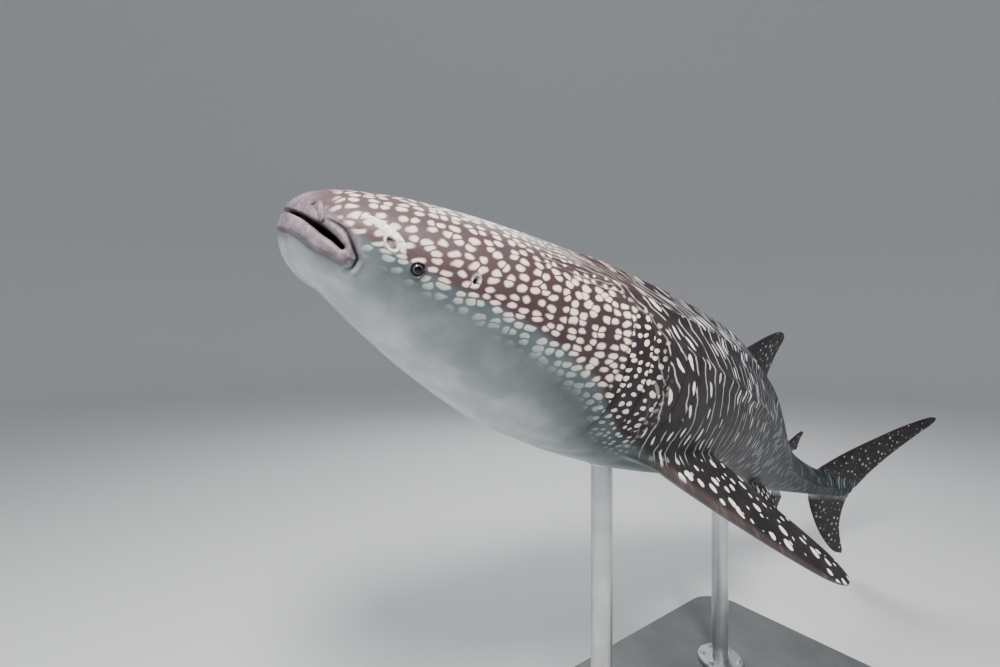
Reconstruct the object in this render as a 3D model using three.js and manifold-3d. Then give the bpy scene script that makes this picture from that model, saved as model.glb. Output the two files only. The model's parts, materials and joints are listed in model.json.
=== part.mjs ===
// A life-size still model of a young whale shark, swimming with its head raised, on a plain display stand.
// Millimetres, +Z up. The head points to -X and the left side faces -Y. The origin is the centre of the
// base's underside. Places on the animal are shares of its length: s runs from the snout (0) to the tip of
// the tail (1), and an angle on the skin is 90 on the back, 0 on the flank and -90 on the belly.
import * as THREE from "three";
import { mergeVertices } from "three/addons/utils/BufferGeometryUtils.js";
import Module from "manifold-3d";

const wasm = await Module();
wasm.setup();

// Driving dimensions
const LENGTH = 5000;
const GAP = 0.3;
const SHOULDER = { s: 0.2, x: -760, y: 20, z: 1820 };
const BASE = { length: 2300, width: 1150, height: 50, corner: 180, bevel: 12 };
const ROD = { radius: 42, sides: 28 };
const FLANGE = { radius: 115, height: 22, edge: 5 };

// How the body bends, in degrees: heading (towards +Y), dip of the tail end, and roll (right side up)
const HEADING = [
  [0, -3.9], [0.05, -4.4], [0.1, -3.8], [0.2, 0], [0.3, 4.3], [0.4, 7.7], [0.5, 9.3], [0.6, 7.6], [0.7, 0.8],
  [0.79, -12.4], [0.9, -29.6], [1, -39.8],
];
const DIP = [
  [0, 22.5], [0.1, 20], [0.2, 18.1], [0.25, 17.8], [0.35, 19.9], [0.45, 24.4], [0.5, 25.7], [0.6, 24.2],
  [0.7, 20.5], [0.79, 16.8], [0.9, 11.2], [1, 7.4],
];
const ROLL = [[0, 11.6], [0.2, 12.8], [0.5, 15.7], [0.7, 13], [0.79, 8.7], [0.9, 2.5], [1, -1.4]];

// Sections of the body: half width, height of the back and depth of the belly from the spine line
const HALF_WIDTH = [
  [0.03, 0.0655], [0.06, 0.0714], [0.1, 0.0776], [0.15, 0.0825], [0.2, 0.0862], [0.25, 0.0872], [0.3, 0.0838],
  [0.4, 0.0688], [0.5, 0.053], [0.6, 0.0375], [0.7, 0.0243], [0.76, 0.0188], [0.785, 0.0165],
  [0.81, 0.0098], [0.84, 0.0055], [0.87, 0.0035],
];
const BACK = [
  [0, 0.0205], [0.01, 0.0213], [0.03, 0.0262], [0.045, 0.0322], [0.06, 0.0366], [0.1, 0.0458], [0.15, 0.053],
  [0.2, 0.0585], [0.25, 0.063], [0.3, 0.0665], [0.36, 0.0685], [0.42, 0.0665], [0.5, 0.057], [0.6, 0.042],
  [0.7, 0.0282], [0.79, 0.0185], [0.87, 0.012],
];
const BELLY = [
  [0.03, 0.0313], [0.06, 0.0445], [0.1, 0.0595], [0.15, 0.0735], [0.2, 0.08], [0.25, 0.0815], [0.3, 0.0797],
  [0.4, 0.0694], [0.5, 0.0545], [0.6, 0.0417], [0.7, 0.028], [0.79, 0.018], [0.87, 0.01],
];
const ROUNDNESS = [[0, 2.5], [0.1, 2.3], [0.2, 2.1], [0.5, 2.05], [0.8, 2]];
const SNOUT_PLAN = { reach: 0.045, power: 2.6 };
const SNOUT_PROFILE = { reach: 0.032, power: 2.1 };

// Ridges along each side: angle and height at stations, and half width in degrees
const RIDGES = [
  {
    angle: [[0, 74], [0.12, 68], [0.25, 61], [0.45, 62], [0.8, 66]],
    height: [[0.1, 0], [0.2, 0.0024], [0.45, 0.0026], [0.6, 0]],
    spread: 4.5,
  },
  {
    angle: [[0, 50], [0.12, 46], [0.25, 38], [0.45, 38], [0.8, 40]],
    height: [[0.12, 0], [0.2, 0.0026], [0.5, 0.003], [0.68, 0]],
    spread: 4.5,
  },
  {
    angle: [[0, 20], [0.15, 20], [0.3, 12], [0.5, 8], [0.8, 0]],
    height: [[0.14, 0], [0.28, 0.0026], [0.5, 0.0034], [0.66, 0.006], [0.77, 0.011], [0.8, 0.006], [0.83, 0]],
    spread: 5.5,
  },
];
const BACK_RIDGE = { height: [[0.08, 0], [0.2, 0.002], [0.4, 0.0025], [0.46, 0]], spread: 5 };

// Gill slits: places, the angles they span, the flap's rise, the slit's depth, and how far the upper ends
// lie ahead of the lower ones, which turn about an angle on the flank
const GILLS = {
  places: [0.177, 0.1935, 0.2095, 0.2245, 0.2385],
  tops: [44, 43, 41, 38, 33],
  feet: [-36, -33, -29, -24, -17],
  rise: 0.002, depth: 0.0042, lead: 0.0095, wall: 0.0008, out: 0.0046,
  lean: 0.007, leanMiddle: 4, leanReach: 38, fadeRate: 4,
};

// Cuts between the body's lengths
const CUTS = { head: 0.155, gills: 0.285, front: 0.42, middle: 0.56, rear: 0.69, stalk: 0.85 };

// Head fittings. The mouth is given by its line from the snout to the corner, as stations and angles, and by
// half its opening along that line.
const MOUTH = {
  line: [
    [0, -0.5], [0.002, -1.2], [0.006, -1.8], [0.011, -3.2], [0.0155, -4.6], [0.02, -6], [0.025, -8.8],
    [0.029, -11.2], [0.0318, -13.2],
  ],
  open: [[0, 6], [0.006, 6.7], [0.011, 8.5], [0.015, 11], [0.02, 9.5], [0.025, 7], [0.029, 4], [0.0318, 2]],
  corner: 0.0318, depth: 90, upperLip: 8, lowerLip: 15, jawBack: 0.036,
};
const EYE = { s: 0.057, angle: -1, radius: 16, proud: 6, rim: 5 };
const SPIRACLE = { s: 0.083, angle: 5, length: 26, width: 14, depth: 24, turn: 35 };
const NOSTRIL = { s: 0.0095, angle: 20, width: 16, length: 24, depth: 14 };

const radians = THREE.MathUtils.degToRad;
const clamp = THREE.MathUtils.clamp;

// A smooth curve through [place, value] stations that never swings past them
function smooth(stations, x) {
  const n = stations.length;
  if (x <= stations[0][0]) return stations[0][1];
  if (x >= stations[n - 1][0]) return stations[n - 1][1];
  const slope = (i) => (stations[i + 1][1] - stations[i][1]) / (stations[i + 1][0] - stations[i][0]);
  const tangent = (i) => {
    if (i === 0) return slope(0);
    if (i === n - 1) return slope(n - 2);
    const [a, b] = [slope(i - 1), slope(i)];
    return a * b <= 0 ? 0 : (2 * a * b) / (a + b);
  };
  let k = 0;
  while (x > stations[k + 1][0]) k += 1;
  const [x0, y0] = stations[k];
  const [x1, y1] = stations[k + 1];
  const h = x1 - x0;
  const t = (x - x0) / h;
  return (
    y0 * (1 + 2 * t) * (1 - t) ** 2 + h * tangent(k) * t * (1 - t) ** 2 +
    y1 * t * t * (3 - 2 * t) + h * tangent(k + 1) * t * t * (t - 1)
  );
}

// The spine line, walked in small steps from the snout
const STEPS = 500;
function headingAt(s) {
  const [yaw, dip] = [radians(smooth(HEADING, s)), radians(smooth(DIP, s))];
  return new THREE.Vector3(Math.cos(yaw) * Math.cos(dip), Math.sin(yaw) * Math.cos(dip), -Math.sin(dip));
}
const spine = [new THREE.Vector3()];
for (let i = 0; i < STEPS; i += 1) {
  spine.push(spine[i].clone().addScaledVector(headingAt((i + 0.5) / STEPS), LENGTH / STEPS));
}
function spineAt(s) {
  const x = clamp(s, 0, 1) * STEPS;
  const i = Math.min(Math.floor(x), STEPS - 1);
  const point = spine[i].clone().lerp(spine[i + 1], x - i);
  return point.addScaledVector(headingAt(s), (s - clamp(s, 0, 1)) * LENGTH);
}
const SHIFT = new THREE.Vector3(SHOULDER.x, SHOULDER.y, SHOULDER.z).sub(spineAt(SHOULDER.s));

// The frame at a station: along towards the tail, right, and up out of the back
function frameAt(s) {
  const along = headingAt(s);
  const yaw = radians(smooth(HEADING, s));
  const level = new THREE.Vector3(-Math.sin(yaw), Math.cos(yaw), 0);
  const lift = along.clone().cross(level);
  const roll = radians(smooth(ROLL, s));
  const right = level.clone().multiplyScalar(Math.cos(roll)).addScaledVector(lift, Math.sin(roll));
  const up = level.clone().multiplyScalar(-Math.sin(roll)).addScaledVector(lift, Math.cos(roll));
  return { centre: spineAt(s).add(SHIFT), along, right, up };
}

// A point given in shares of the length: station, offset to the right and offset up
function place(s, right, up) {
  const f = frameAt(s);
  return f.centre.addScaledVector(f.right, right * LENGTH).addScaledVector(f.up, up * LENGTH);
}

function bump(x) {
  return Math.abs(x) < 1 ? (1 + Math.cos(Math.PI * x)) / 2 : 0;
}

function bluntness({ reach, power }, s) {
  return s >= reach ? 1 : (1 - (1 - Math.max(s, 0) / reach) ** power) ** (1 / power);
}

// How far the slits lean: their upper ends lie further forward. It eases to nothing at the cuts.
function gillLean(s, angle) {
  const reach = clamp((GILLS.leanMiddle - angle) / GILLS.leanReach, -1, 1);
  const [start, end] = [GILLS.places[0] - GILLS.lead, GILLS.places.at(-1) + GILLS.out];
  return GILLS.lean * reach * smooth([[CUTS.head, 0], [start, 1], [end, 1], [CUTS.gills, 0]], s);
}

// A flap rises towards each slit, drops across the slit's wall and comes back to the skin behind it
function gillRelief(s, angle) {
  const { rise, depth, lead, wall, out } = GILLS;
  let relief = 0;
  GILLS.places.forEach((at, i) => {
    const middle = (GILLS.tops[i] + GILLS.feet[i]) / 2;
    const share = Math.abs(angle - middle) / ((GILLS.tops[i] - GILLS.feet[i]) / 2);
    const fade = clamp((1 - share) * GILLS.fadeRate, 0, 1);
    const x = s - at;
    if (x > -lead && x <= 0) relief += fade * rise * (1 + x / lead);
    if (x > 0 && x < wall) relief += fade * (rise - ((rise + depth) * x) / wall);
    if (x >= wall && x < out) relief -= (fade * depth * (out - x)) / (out - wall);
  });
  return relief;
}

function ridgeRelief(s, angle) {
  let relief = smooth(BACK_RIDGE.height, s) * bump((angle - 90) / BACK_RIDGE.spread);
  for (const ridge of RIDGES) {
    relief += smooth(ridge.height, s) * bump((angle - smooth(ridge.angle, s)) / ridge.spread);
  }
  return relief;
}

// A point of the skin. side is -1 on the left and 1 on the right, and grow moves it out, in millimetres.
function skin(s, angle, side, grow = 0) {
  const plan = bluntness(SNOUT_PLAN, s);
  const profile = bluntness(SNOUT_PROFILE, s);
  const w = smooth(HALF_WIDTH, s) * plan;
  const h = smooth(angle >= 0 ? BACK : BELLY, s) * profile;
  const [c, q] = [Math.cos(radians(angle)), Math.sin(radians(angle))];
  const power = 2 / smooth(ROUNDNESS, s);
  const across = w * Math.abs(c) ** power;
  const rise = h * Math.sign(q) * Math.abs(q) ** power;
  const normal = new THREE.Vector2((c * h) / w, q).normalize();
  const out = ridgeRelief(s, angle) + gillRelief(s, angle) + grow / LENGTH;
  return place(s + gillLean(s, angle), side * (across + normal.x * out), rise + normal.y * out);
}

// Angles of the skin's columns on one side, from the back to the belly, with the ridges' crests among them
function columnAngles(s) {
  const [a, b, c] = RIDGES.map((ridge) => smooth(ridge.angle, s));
  const [p, q, r] = RIDGES.map((ridge) => ridge.spread);
  const upper = [90, 90 - BACK_RIDGE.spread, a + p, a, a - p, (a + b) / 2, b + q, b, b - q];
  return [...upper, (b + c) / 2 + 3, c + r, c, c - r, -16, -28, -40, -52, -65, -78, -90];
}

// The closed ring of skin points at a station: down the left side and up the right
function skinRing(s, grow) {
  const angles = columnAngles(s);
  const left = angles.map((angle) => skin(s, angle, -1, grow));
  const right = angles.slice(1, -1).reverse().map((angle) => skin(s, angle, 1, grow));
  return [...left, ...right];
}

// A solid from rings of points, closed at both ends by a fan round a middle point
function loft(rings, first, last) {
  const middle = (ring) => ring.reduce((sum, p) => sum.add(p), new THREE.Vector3()).divideScalar(ring.length);
  const n = rings[0].length;
  const points = rings.flat();
  points.push(first ?? middle(rings[0]), last ?? middle(rings.at(-1)));
  const [head, tail] = [points.length - 2, points.length - 1];
  const faces = [];
  for (let i = 0; i < n; i += 1) {
    const j = (i + 1) % n;
    faces.push([head, j, i]);
    const end = (rings.length - 1) * n;
    faces.push([tail, end + i, end + j]);
    for (let k = 0; k + 1 < rings.length; k += 1) {
      const [a, b] = [k * n + i, k * n + j];
      faces.push([a, b, b + n], [a, b + n, a + n]);
    }
  }
  const geometry = new THREE.BufferGeometry().setFromPoints(points);
  geometry.setIndex(faces.flat());
  return solid(geometry);
}

// A manifold solid from a closed geometry, turned right side out if need be
function solid(geometry, matrix) {
  const bare = geometry.clone();
  bare.deleteAttribute("normal");
  bare.deleteAttribute("uv");
  if (matrix) bare.applyMatrix4(matrix);
  const merged = mergeVertices(bare, 1e-3);
  const vertProperties = merged.attributes.position.array;
  const make = (triVerts) => new wasm.Manifold(new wasm.Mesh({ numProp: 3, vertProperties, triVerts }));
  const triVerts = new Uint32Array(merged.index.array);
  const made = make(triVerts);
  return made.volume() > 0 ? made : make(triVerts.reverse());
}

function largest(body) {
  return body.decompose().sort((a, b) => b.volume() - a.volume())[0];
}

// Stations of the rings
function span(from, to, count) {
  return Array.from({ length: count }, (_, i) => from + ((to - from) * (i + 1)) / count);
}
const gillStations = GILLS.places.flatMap((at) => [at - GILLS.lead, at, at + GILLS.wall, at + GILLS.out]);
const headStations = [0.0006, 0.003, 0.008, 0.0145, 0.023, 0.033, 0.045, 0.06, 0.077, 0.096, 0.115, 0.135];
const stations = [
  ...headStations, CUTS.head, 0.161, ...gillStations, 0.255, 0.268, CUTS.gills,
  ...span(CUTS.gills, CUTS.front, 6), ...span(CUTS.front, CUTS.middle, 6),
  ...span(CUTS.middle, CUTS.rear, 6), ...span(CUTS.rear, CUTS.stalk, 9),
];

function bodyLength(from, to, grow = 0) {
  const ease = GAP / 2 / LENGTH;
  const start = from === 0 ? headStations[0] : from + ease;
  const inner = stations.filter((s) => s > start + 1e-4 && s < to - 1e-4);
  const rings = [start, ...inner, to - ease].map((s) => skinRing(s, grow));
  return loft(rings, from === 0 ? place(0, 0, -0.0006) : undefined);
}

// The whole body grown by the gap, which trims whatever grows from the skin
const trimmer = bodyLength(0, CUTS.stalk, GAP);

// A ring of points round a centre, in the plane of two directions
function circle(centre, across, over, radius, sides) {
  return Array.from({ length: sides }, (_, j) => {
    const turn = (2 * Math.PI * j) / sides;
    return centre.clone().addScaledVector(across, radius * Math.cos(turn))
      .addScaledVector(over, radius * Math.sin(turn));
  });
}

// A tapering roll along a path on the skin. Each path point is [s, angle, radius, lift].
function roll(path, side, sides = 8) {
  const curve = new THREE.CatmullRomCurve3(path.map(([s, angle, , lift]) => skin(s, angle, side, lift)));
  const steps = (path.length - 1) * 2;
  const rings = [];
  for (let i = 0; i <= steps; i += 1) {
    const k = Math.min(Math.floor(i / 2), path.length - 2);
    const radius = path[k][2] + ((path[k + 1][2] - path[k][2]) * (i - 2 * k)) / 2;
    const tangent = curve.getTangent(i / steps);
    const across = new THREE.Vector3(0, 0, 1).cross(tangent).normalize();
    const over = tangent.clone().cross(across);
    rings.push(circle(curve.getPoint(i / steps), across, over, radius, sides));
  }
  return loft(rings);
}

// The skin's own outward direction at a place
function outward(s, angle, side) {
  return skin(s, angle, side, 10).sub(skin(s, angle, side, 0)).normalize();
}

function facing(point, direction) {
  const turn = new THREE.Quaternion().setFromUnitVectors(new THREE.Vector3(0, 0, 1), direction);
  return new THREE.Matrix4().compose(point, turn, new THREE.Vector3(1, 1, 1));
}

// The mouth's line in the section's own plane: how far across each of its stations lies, and how high
const mouthRows = MOUTH.line.map(([s, angle]) => {
  const f = frameAt(s);
  const arm = s > 0 ? skin(s, angle, 1).sub(f.centre).divideScalar(LENGTH) : new THREE.Vector3();
  return { s, across: arm.dot(f.right), rise: arm.dot(f.up), half: smooth(MOUTH.open, s) / LENGTH };
});
const mouthTable = mouthRows.map((row) => [row.across, row.rise]);
const mouthHeight = (across) => smooth(mouthTable, Math.abs(across));

// The mouth is a slot across the snout, widest beside the chin and closing at the corners
function mouthSlot() {
  const ahead = -0.012;
  const last = mouthRows.at(-1);
  const beyond = { ...last, across: last.across + 0.003, half: last.half * 0.4 };
  const side = [...mouthRows.slice(1), beyond];
  const mirrored = side.map((row) => ({ ...row, across: -row.across })).reverse();
  const rings = [...mirrored, mouthRows[0], ...side].map(({ s, across, rise, half }) => {
    const back = s + (MOUTH.depth / LENGTH) * Math.sqrt(Math.max(0, 1 - s / MOUTH.corner)) + 0.0004;
    const throat = (s + back) / 2;
    return [
      place(ahead, across, rise - half * 1.2), place(ahead, across, rise + half * 1.2),
      place(throat, across, rise + half), place(back, across, rise + half * 0.3),
      place(back, across, rise - half * 0.3), place(throat, across, rise - half),
    ];
  });
  return loft(rings);
}

// The block that holds the lower jaw: everything under the mouth's line and ahead of a slanting cut
function jawBlock(ease) {
  const shares = [-1.25, -1, -0.95, -0.85, -0.6, -0.3, 0, 0.3, 0.6, 0.85, 0.95, 1, 1.25];
  const widest = mouthRows.at(-1).across;
  const e = ease / LENGTH;
  const [slant, under, ahead] = [0.022, -0.06, -0.02];
  const rings = shares.map((share) => {
    const across = widest * share;
    const top = mouthHeight(across) - e;
    return [
      place(ahead, across, top), place(MOUTH.jawBack - e, across, top),
      place(MOUTH.jawBack + slant - e, across, under), place(ahead, across, under),
    ];
  });
  return loft(rings);
}

// A lip: a roll along the mouth's line from corner to corner, above it (1) or below it (-1)
function lip(above, radius) {
  const stations = [0.0008, 0.003, 0.0085, 0.0155, 0.022, 0.028, 0.0312];
  const half = (side) => stations.map((s, i) => {
    const size = radius * (1 - 0.6 * (i / (stations.length - 1)) ** 3);
    const height = smooth(BELLY, s) * bluntness(SNOUT_PROFILE, s) * LENGTH;
    const away = THREE.MathUtils.radToDeg((smooth(MOUTH.open, s) + size * 0.75) / height);
    return { s, angle: smooth(MOUTH.line, s) + above * away, side, size };
  });
  const stops = [...half(-1).reverse(), ...half(1)];
  const curve = new THREE.CatmullRomCurve3(stops.map((p) => skin(p.s, p.angle, p.side, -p.size * 0.25)));
  const rings = stops.map(({ size }, i) => {
    const tangent = curve.getTangent(i / (stops.length - 1));
    const over = new THREE.Vector3(0, 0, 1).addScaledVector(tangent, -tangent.z).normalize();
    return circle(curve.getPoint(i / (stops.length - 1)), tangent.clone().cross(over), over, size, 8);
  });
  return loft(rings);
}

function eyeCentre(side) {
  const out = outward(EYE.s, EYE.angle, side);
  return skin(EYE.s, EYE.angle, side).addScaledVector(out, EYE.proud - EYE.radius);
}
function eyeball(side, grow = 0) {
  const ball = new THREE.SphereGeometry(EYE.radius + grow, 20, 14);
  ball.rotateX(Math.PI / 2);
  return solid(ball, facing(eyeCentre(side), outward(EYE.s, EYE.angle, side)));
}
function eyeRim(side) {
  const rim = new THREE.TorusGeometry(EYE.radius + EYE.rim * 0.35, EYE.rim, 6, 18);
  rim.scale(1, 1, 0.7);
  return solid(rim, facing(skin(EYE.s, EYE.angle, side, -2), outward(EYE.s, EYE.angle, side)));
}
function spiracleHole(side) {
  const { s, angle, width, length, depth, turn } = SPIRACLE;
  const hole = new THREE.SphereGeometry(1, 14, 10);
  hole.scale(width / 2, length / 2, depth);
  hole.rotateY(radians(turn * side));
  return solid(hole, facing(skin(s, angle, side, 2), outward(s, angle, side)));
}
function nostrilHole(side) {
  const { s, angle, width, length, depth } = NOSTRIL;
  const hole = new THREE.SphereGeometry(1, 12, 8);
  hole.scale(width / 2, length / 2, depth);
  return solid(hole, facing(skin(s, angle, side), outward(s, angle, side)));
}
// The fold that runs from the nostril round behind the corner of the mouth
function cheekFold(side) {
  return roll([
    [0.0165, 6, 4, -1], [0.0225, 4, 7, -2], [0.029, 0, 8, -3], [0.0345, -7, 9, -3], [0.0365, -15, 9, -3],
    [0.0345, -24, 5, -2],
  ], side, 6);
}
// The healed wound over the left cheek: a chain of low lumps and an oval rim
function scar() {
  const stops = [
    [0.0283, 18.4, 8], [0.0336, 16.9, 9], [0.037, 14.1, 10], [0.0415, 11.2, 11], [0.0461, 7.3, 9],
  ];
  return roll(stops.map(([s, angle, radius]) => [s, angle, radius, -radius * 0.35]), -1, 7);
}

function wholeHead() {
  let head = bodyLength(0, CUTS.head);
  for (const side of [-1, 1]) {
    head = head.add(cheekFold(side)).add(eyeRim(side));
    head = head.subtract(eyeball(side, GAP)).subtract(spiracleHole(side)).subtract(nostrilHole(side));
  }
  const lips = lip(1, MOUTH.upperLip).add(lip(-1, MOUTH.lowerLip));
  return head.add(scar()).add(lips).subtract(mouthSlot());
}

// A fin: a loft of streamlined sections. Each row is [span, leading edge, trailing edge, thickness], and
// at() turns chord place, span and half thickness into a point.
function fin(rows, at, detail = 7) {
  const chordShare = (i) => (1 - Math.cos((Math.PI * i) / (detail - 1))) / 2;
  const section = [];
  for (let i = 0; i < detail; i += 1) section.push([chordShare(i), 1]);
  for (let i = detail - 2; i > 0; i -= 1) section.push([chordShare(i), -1]);
  const core = (x) => 1.47 * Math.sqrt(x) * (1 - x) ** 0.8;
  const blade = (x) => core(x) + 0.16 * Math.min(1, x * 30, (1 - x) * 30);
  const rings = rows.map(([height, lead, trail, thick]) =>
    section.map(([x, face]) => at(lead + (trail - lead) * x, height, (face * thick * blade(x)) / 2)));
  const tipRow = rows.at(-1);
  return loft(rings, undefined, at((tipRow[1] + tipRow[2]) / 2, tipRow[0], 0));
}

// Rows between a few given ones, smooth along the span
function fill(rows, count) {
  const column = (k) => rows.map((row) => [row[0], row[k]]);
  const [low, high] = [rows[0][0], rows.at(-1)[0]];
  return Array.from({ length: count + 1 }, (_, i) => {
    const x = low + ((high - low) * i) / count;
    return [x, ...[1, 2, 3].map((k) => smooth(column(k), x))];
  });
}

// Fins in the middle plane are given as height over the spine line or depth under it, and the body's own
// bend carries them
const middlePlane = (chord, height, thick) => place(chord, thick, height);
const hanging = (chord, depth, thick) => place(chord, thick, -depth);
const SEAM = GAP / 2 / LENGTH;

const FIRST_DORSAL = [
  [0.04, 0.426, 0.522, 0.018], [0.0635, 0.43, 0.519, 0.016], [0.072, 0.4385, 0.535, 0.0125],
  [0.077, 0.4435, 0.537, 0.0115], [0.085, 0.4525, 0.529, 0.0105], [0.098, 0.466, 0.5265, 0.009],
  [0.111, 0.4795, 0.5255, 0.0075], [0.122, 0.492, 0.5265, 0.006], [0.131, 0.504, 0.5275, 0.0045],
  [0.1355, 0.5135, 0.5255, 0.003],
];
const SECOND_DORSAL = [
  [0.015, 0.672, 0.702, 0.008], [0.031, 0.674, 0.7, 0.007], [0.036, 0.6785, 0.714, 0.006],
  [0.042, 0.684, 0.713, 0.005], [0.05, 0.692, 0.7115, 0.004], [0.058, 0.701, 0.713, 0.003],
  [0.062, 0.7065, 0.7125, 0.002],
];
const ANAL = [
  [0.015, 0.69, 0.718, 0.008], [0.029, 0.692, 0.716, 0.007], [0.034, 0.6965, 0.727, 0.006],
  [0.042, 0.704, 0.7265, 0.005], [0.05, 0.713, 0.727, 0.004], [0.056, 0.72, 0.727, 0.002],
];
const TAIL_UPPER = [
  [SEAM, 0.7855, 0.868, 0.012], [0.01, 0.7855, 0.875, 0.0115], [0.018, 0.7855, 0.8805, 0.011],
  [0.03, 0.8, 0.889, 0.0105], [0.047, 0.8235, 0.9035, 0.0095], [0.067, 0.855, 0.922, 0.0085],
  [0.087, 0.889, 0.943, 0.0075], [0.107, 0.924, 0.965, 0.006], [0.121, 0.952, 0.981, 0.0045],
  [0.129, 0.97, 0.987, 0.003], [0.132, 0.979, 0.987, 0.002],
];
const TAIL_LOWER = [
  [SEAM, 0.7855, 0.868, 0.012], [0.01, 0.7855, 0.8635, 0.0115], [0.018, 0.7855, 0.861, 0.011],
  [0.034, 0.796, 0.8595, 0.0095], [0.052, 0.812, 0.861, 0.008], [0.069, 0.828, 0.866, 0.0065],
  [0.084, 0.8445, 0.8725, 0.005], [0.094, 0.8575, 0.8765, 0.003], [0.098, 0.8655, 0.8765, 0.002],
];

// Paired fins, given in the plane of the fin: span out from the body and chord towards its trailing edge.
// Directions are shares along the body, outwards and up.
const PECTORAL = {
  root: [0.234, -42],
  span: [0.36, 0.8, -0.48],
  chord: [0.9, -0.19, 0.4],
  rows: [
    [-0.03, -0.02, 0.054, 0.021], [0, -0.011, 0.055, 0.0195], [0.006, -0.001, 0.064, 0.0175],
    [0.012, 0.0065, 0.073, 0.0165], [0.018, 0.01, 0.075, 0.0155], [0.034, 0.0185, 0.0775, 0.0135],
    [0.058, 0.0325, 0.084, 0.0115], [0.082, 0.0475, 0.0925, 0.0095], [0.106, 0.0635, 0.1005, 0.0075],
    [0.126, 0.0785, 0.105, 0.0055], [0.136, 0.0885, 0.1045, 0.0035], [0.1395, 0.0945, 0.102, 0.002],
  ],
};
const PELVIC = {
  root: [0.527, -50],
  span: [0.25, 0.72, -0.65],
  chord: [0.97, 0.05, 0.2],
  rows: [
    [-0.02, -0.003, 0.032, 0.009], [0, 0, 0.034, 0.0085], [0.006, 0.004, 0.047, 0.0075],
    [0.016, 0.011, 0.047, 0.0065], [0.027, 0.0205, 0.0475, 0.005], [0.036, 0.03, 0.048, 0.0035],
    [0.041, 0.038, 0.0475, 0.002],
  ],
};

function pairedFin(shape, side, count) {
  const f = frameAt(shape.root[0]);
  const mix = ([along, out, up]) => f.along.clone().multiplyScalar(along)
    .addScaledVector(f.right, side * out).addScaledVector(f.up, up).normalize();
  const chord = mix(shape.chord);
  const outwards = mix(shape.span);
  const spanwise = outwards.addScaledVector(chord, -outwards.dot(chord)).normalize();
  const normal = chord.clone().cross(spanwise);
  const root = skin(shape.root[0], shape.root[1], side);
  const at = (c, height, thick) => root.clone().addScaledVector(chord, c * LENGTH)
    .addScaledVector(spanwise, height * LENGTH).addScaledVector(normal, thick * LENGTH);
  return fin(fill(shape.rows, count), at).subtract(trimmer);
}

// The flap that hangs from the nostril over the mouth's edge. Each row is [share of its length, half width,
// half thickness].
function nasalFlap(side) {
  const from = skin(0.01, 16, side, -4);
  const to = skin(0.014, 0, side, 8);
  const out = outward(NOSTRIL.s, 0, side);
  const along = to.clone().sub(from);
  const across = out.clone().cross(along).normalize();
  const arch = 5;
  const rows = [[0, 8, 6], [0.3, 8.5, 6], [0.6, 7.5, 5], [0.85, 5.5, 4], [1, 2.5, 2]];
  const rings = rows.map(([t, wide, thick]) => {
    const centre = from.clone().addScaledVector(along, t).addScaledVector(out, arch * Math.sin(Math.PI * t));
    return circle(centre, across.clone().multiplyScalar(wide), out.clone().multiplyScalar(thick), 1, 8);
  });
  return loft(rings);
}

// The stand: a rounded plate with two posts in flanges
const POSTS = { front: { s: 0.245 }, rear: { s: 0.475 } };
function standBase() {
  const [x, y, r] = [BASE.length / 2 - BASE.bevel, BASE.width / 2 - BASE.bevel, BASE.corner];
  const outline = new THREE.Shape();
  outline.moveTo(-x + r, -y);
  outline.lineTo(x - r, -y);
  outline.absarc(x - r, -y + r, r, -Math.PI / 2, 0);
  outline.lineTo(x, y - r);
  outline.absarc(x - r, y - r, r, 0, Math.PI / 2);
  outline.lineTo(-x + r, y);
  outline.absarc(-x + r, y - r, r, Math.PI / 2, Math.PI);
  outline.lineTo(-x, -y + r);
  outline.absarc(-x + r, -y + r, r, Math.PI, 1.5 * Math.PI);
  const plate = new THREE.ExtrudeGeometry(outline, {
    depth: BASE.height - 2 * BASE.bevel, bevelThickness: BASE.bevel, bevelSize: BASE.bevel, bevelSegments: 2,
    curveSegments: 6,
  });
  plate.translate(0, 0, BASE.bevel);
  return solid(plate);
}
function postFoot(post) {
  const f = frameAt(post.s);
  return new THREE.Vector3(f.centre.x, f.centre.y, BASE.height + GAP);
}
function standPost(post) {
  const foot = postFoot(post);
  const top = frameAt(post.s).centre.z;
  const tube = new THREE.CylinderGeometry(ROD.radius, ROD.radius, top - foot.z, ROD.sides);
  tube.rotateX(Math.PI / 2);
  tube.translate(foot.x, foot.y, (top + foot.z) / 2);
  return largest(solid(tube).subtract(trimmer));
}
function standFlange(post) {
  const foot = postFoot(post);
  const [inner, outer, h, e] = [ROD.radius + GAP, FLANGE.radius, FLANGE.height, FLANGE.edge];
  const profile = [[inner, 0], [outer, 0], [outer, h - e], [outer - e, h], [inner, h], [inner, 0]];
  const ring = new THREE.LatheGeometry(profile.map(([x, y]) => new THREE.Vector2(x, y)), ROD.sides);
  ring.rotateX(Math.PI / 2);
  ring.translate(foot.x, foot.y, foot.z);
  return solid(ring);
}

// Materials
function material(color, roughness, metalness = 0) {
  return new THREE.MeshStandardMaterial({ color, roughness, metalness });
}
const skinDark = material(0x4a4547, 0.6);
const finDark = material(0x35323a, 0.6);
const lipPale = material(0x8e8594, 0.55);
const eyeBlack = material(0x0b0c10, 0.15);
const standPaint = material(0x2b2d30, 0.45, 0.2);

const part = new THREE.Group();
function addNode(name, body, finish) {
  const mesh = body.getMesh();
  const geometry = new THREE.BufferGeometry();
  geometry.setAttribute("position", new THREE.BufferAttribute(new Float32Array(mesh.vertProperties), 3));
  geometry.setIndex(new THREE.BufferAttribute(mesh.triVerts, 1));
  geometry.computeVertexNormals();
  const node = new THREE.Mesh(geometry, finish);
  node.name = name;
  part.add(node);
}

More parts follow.
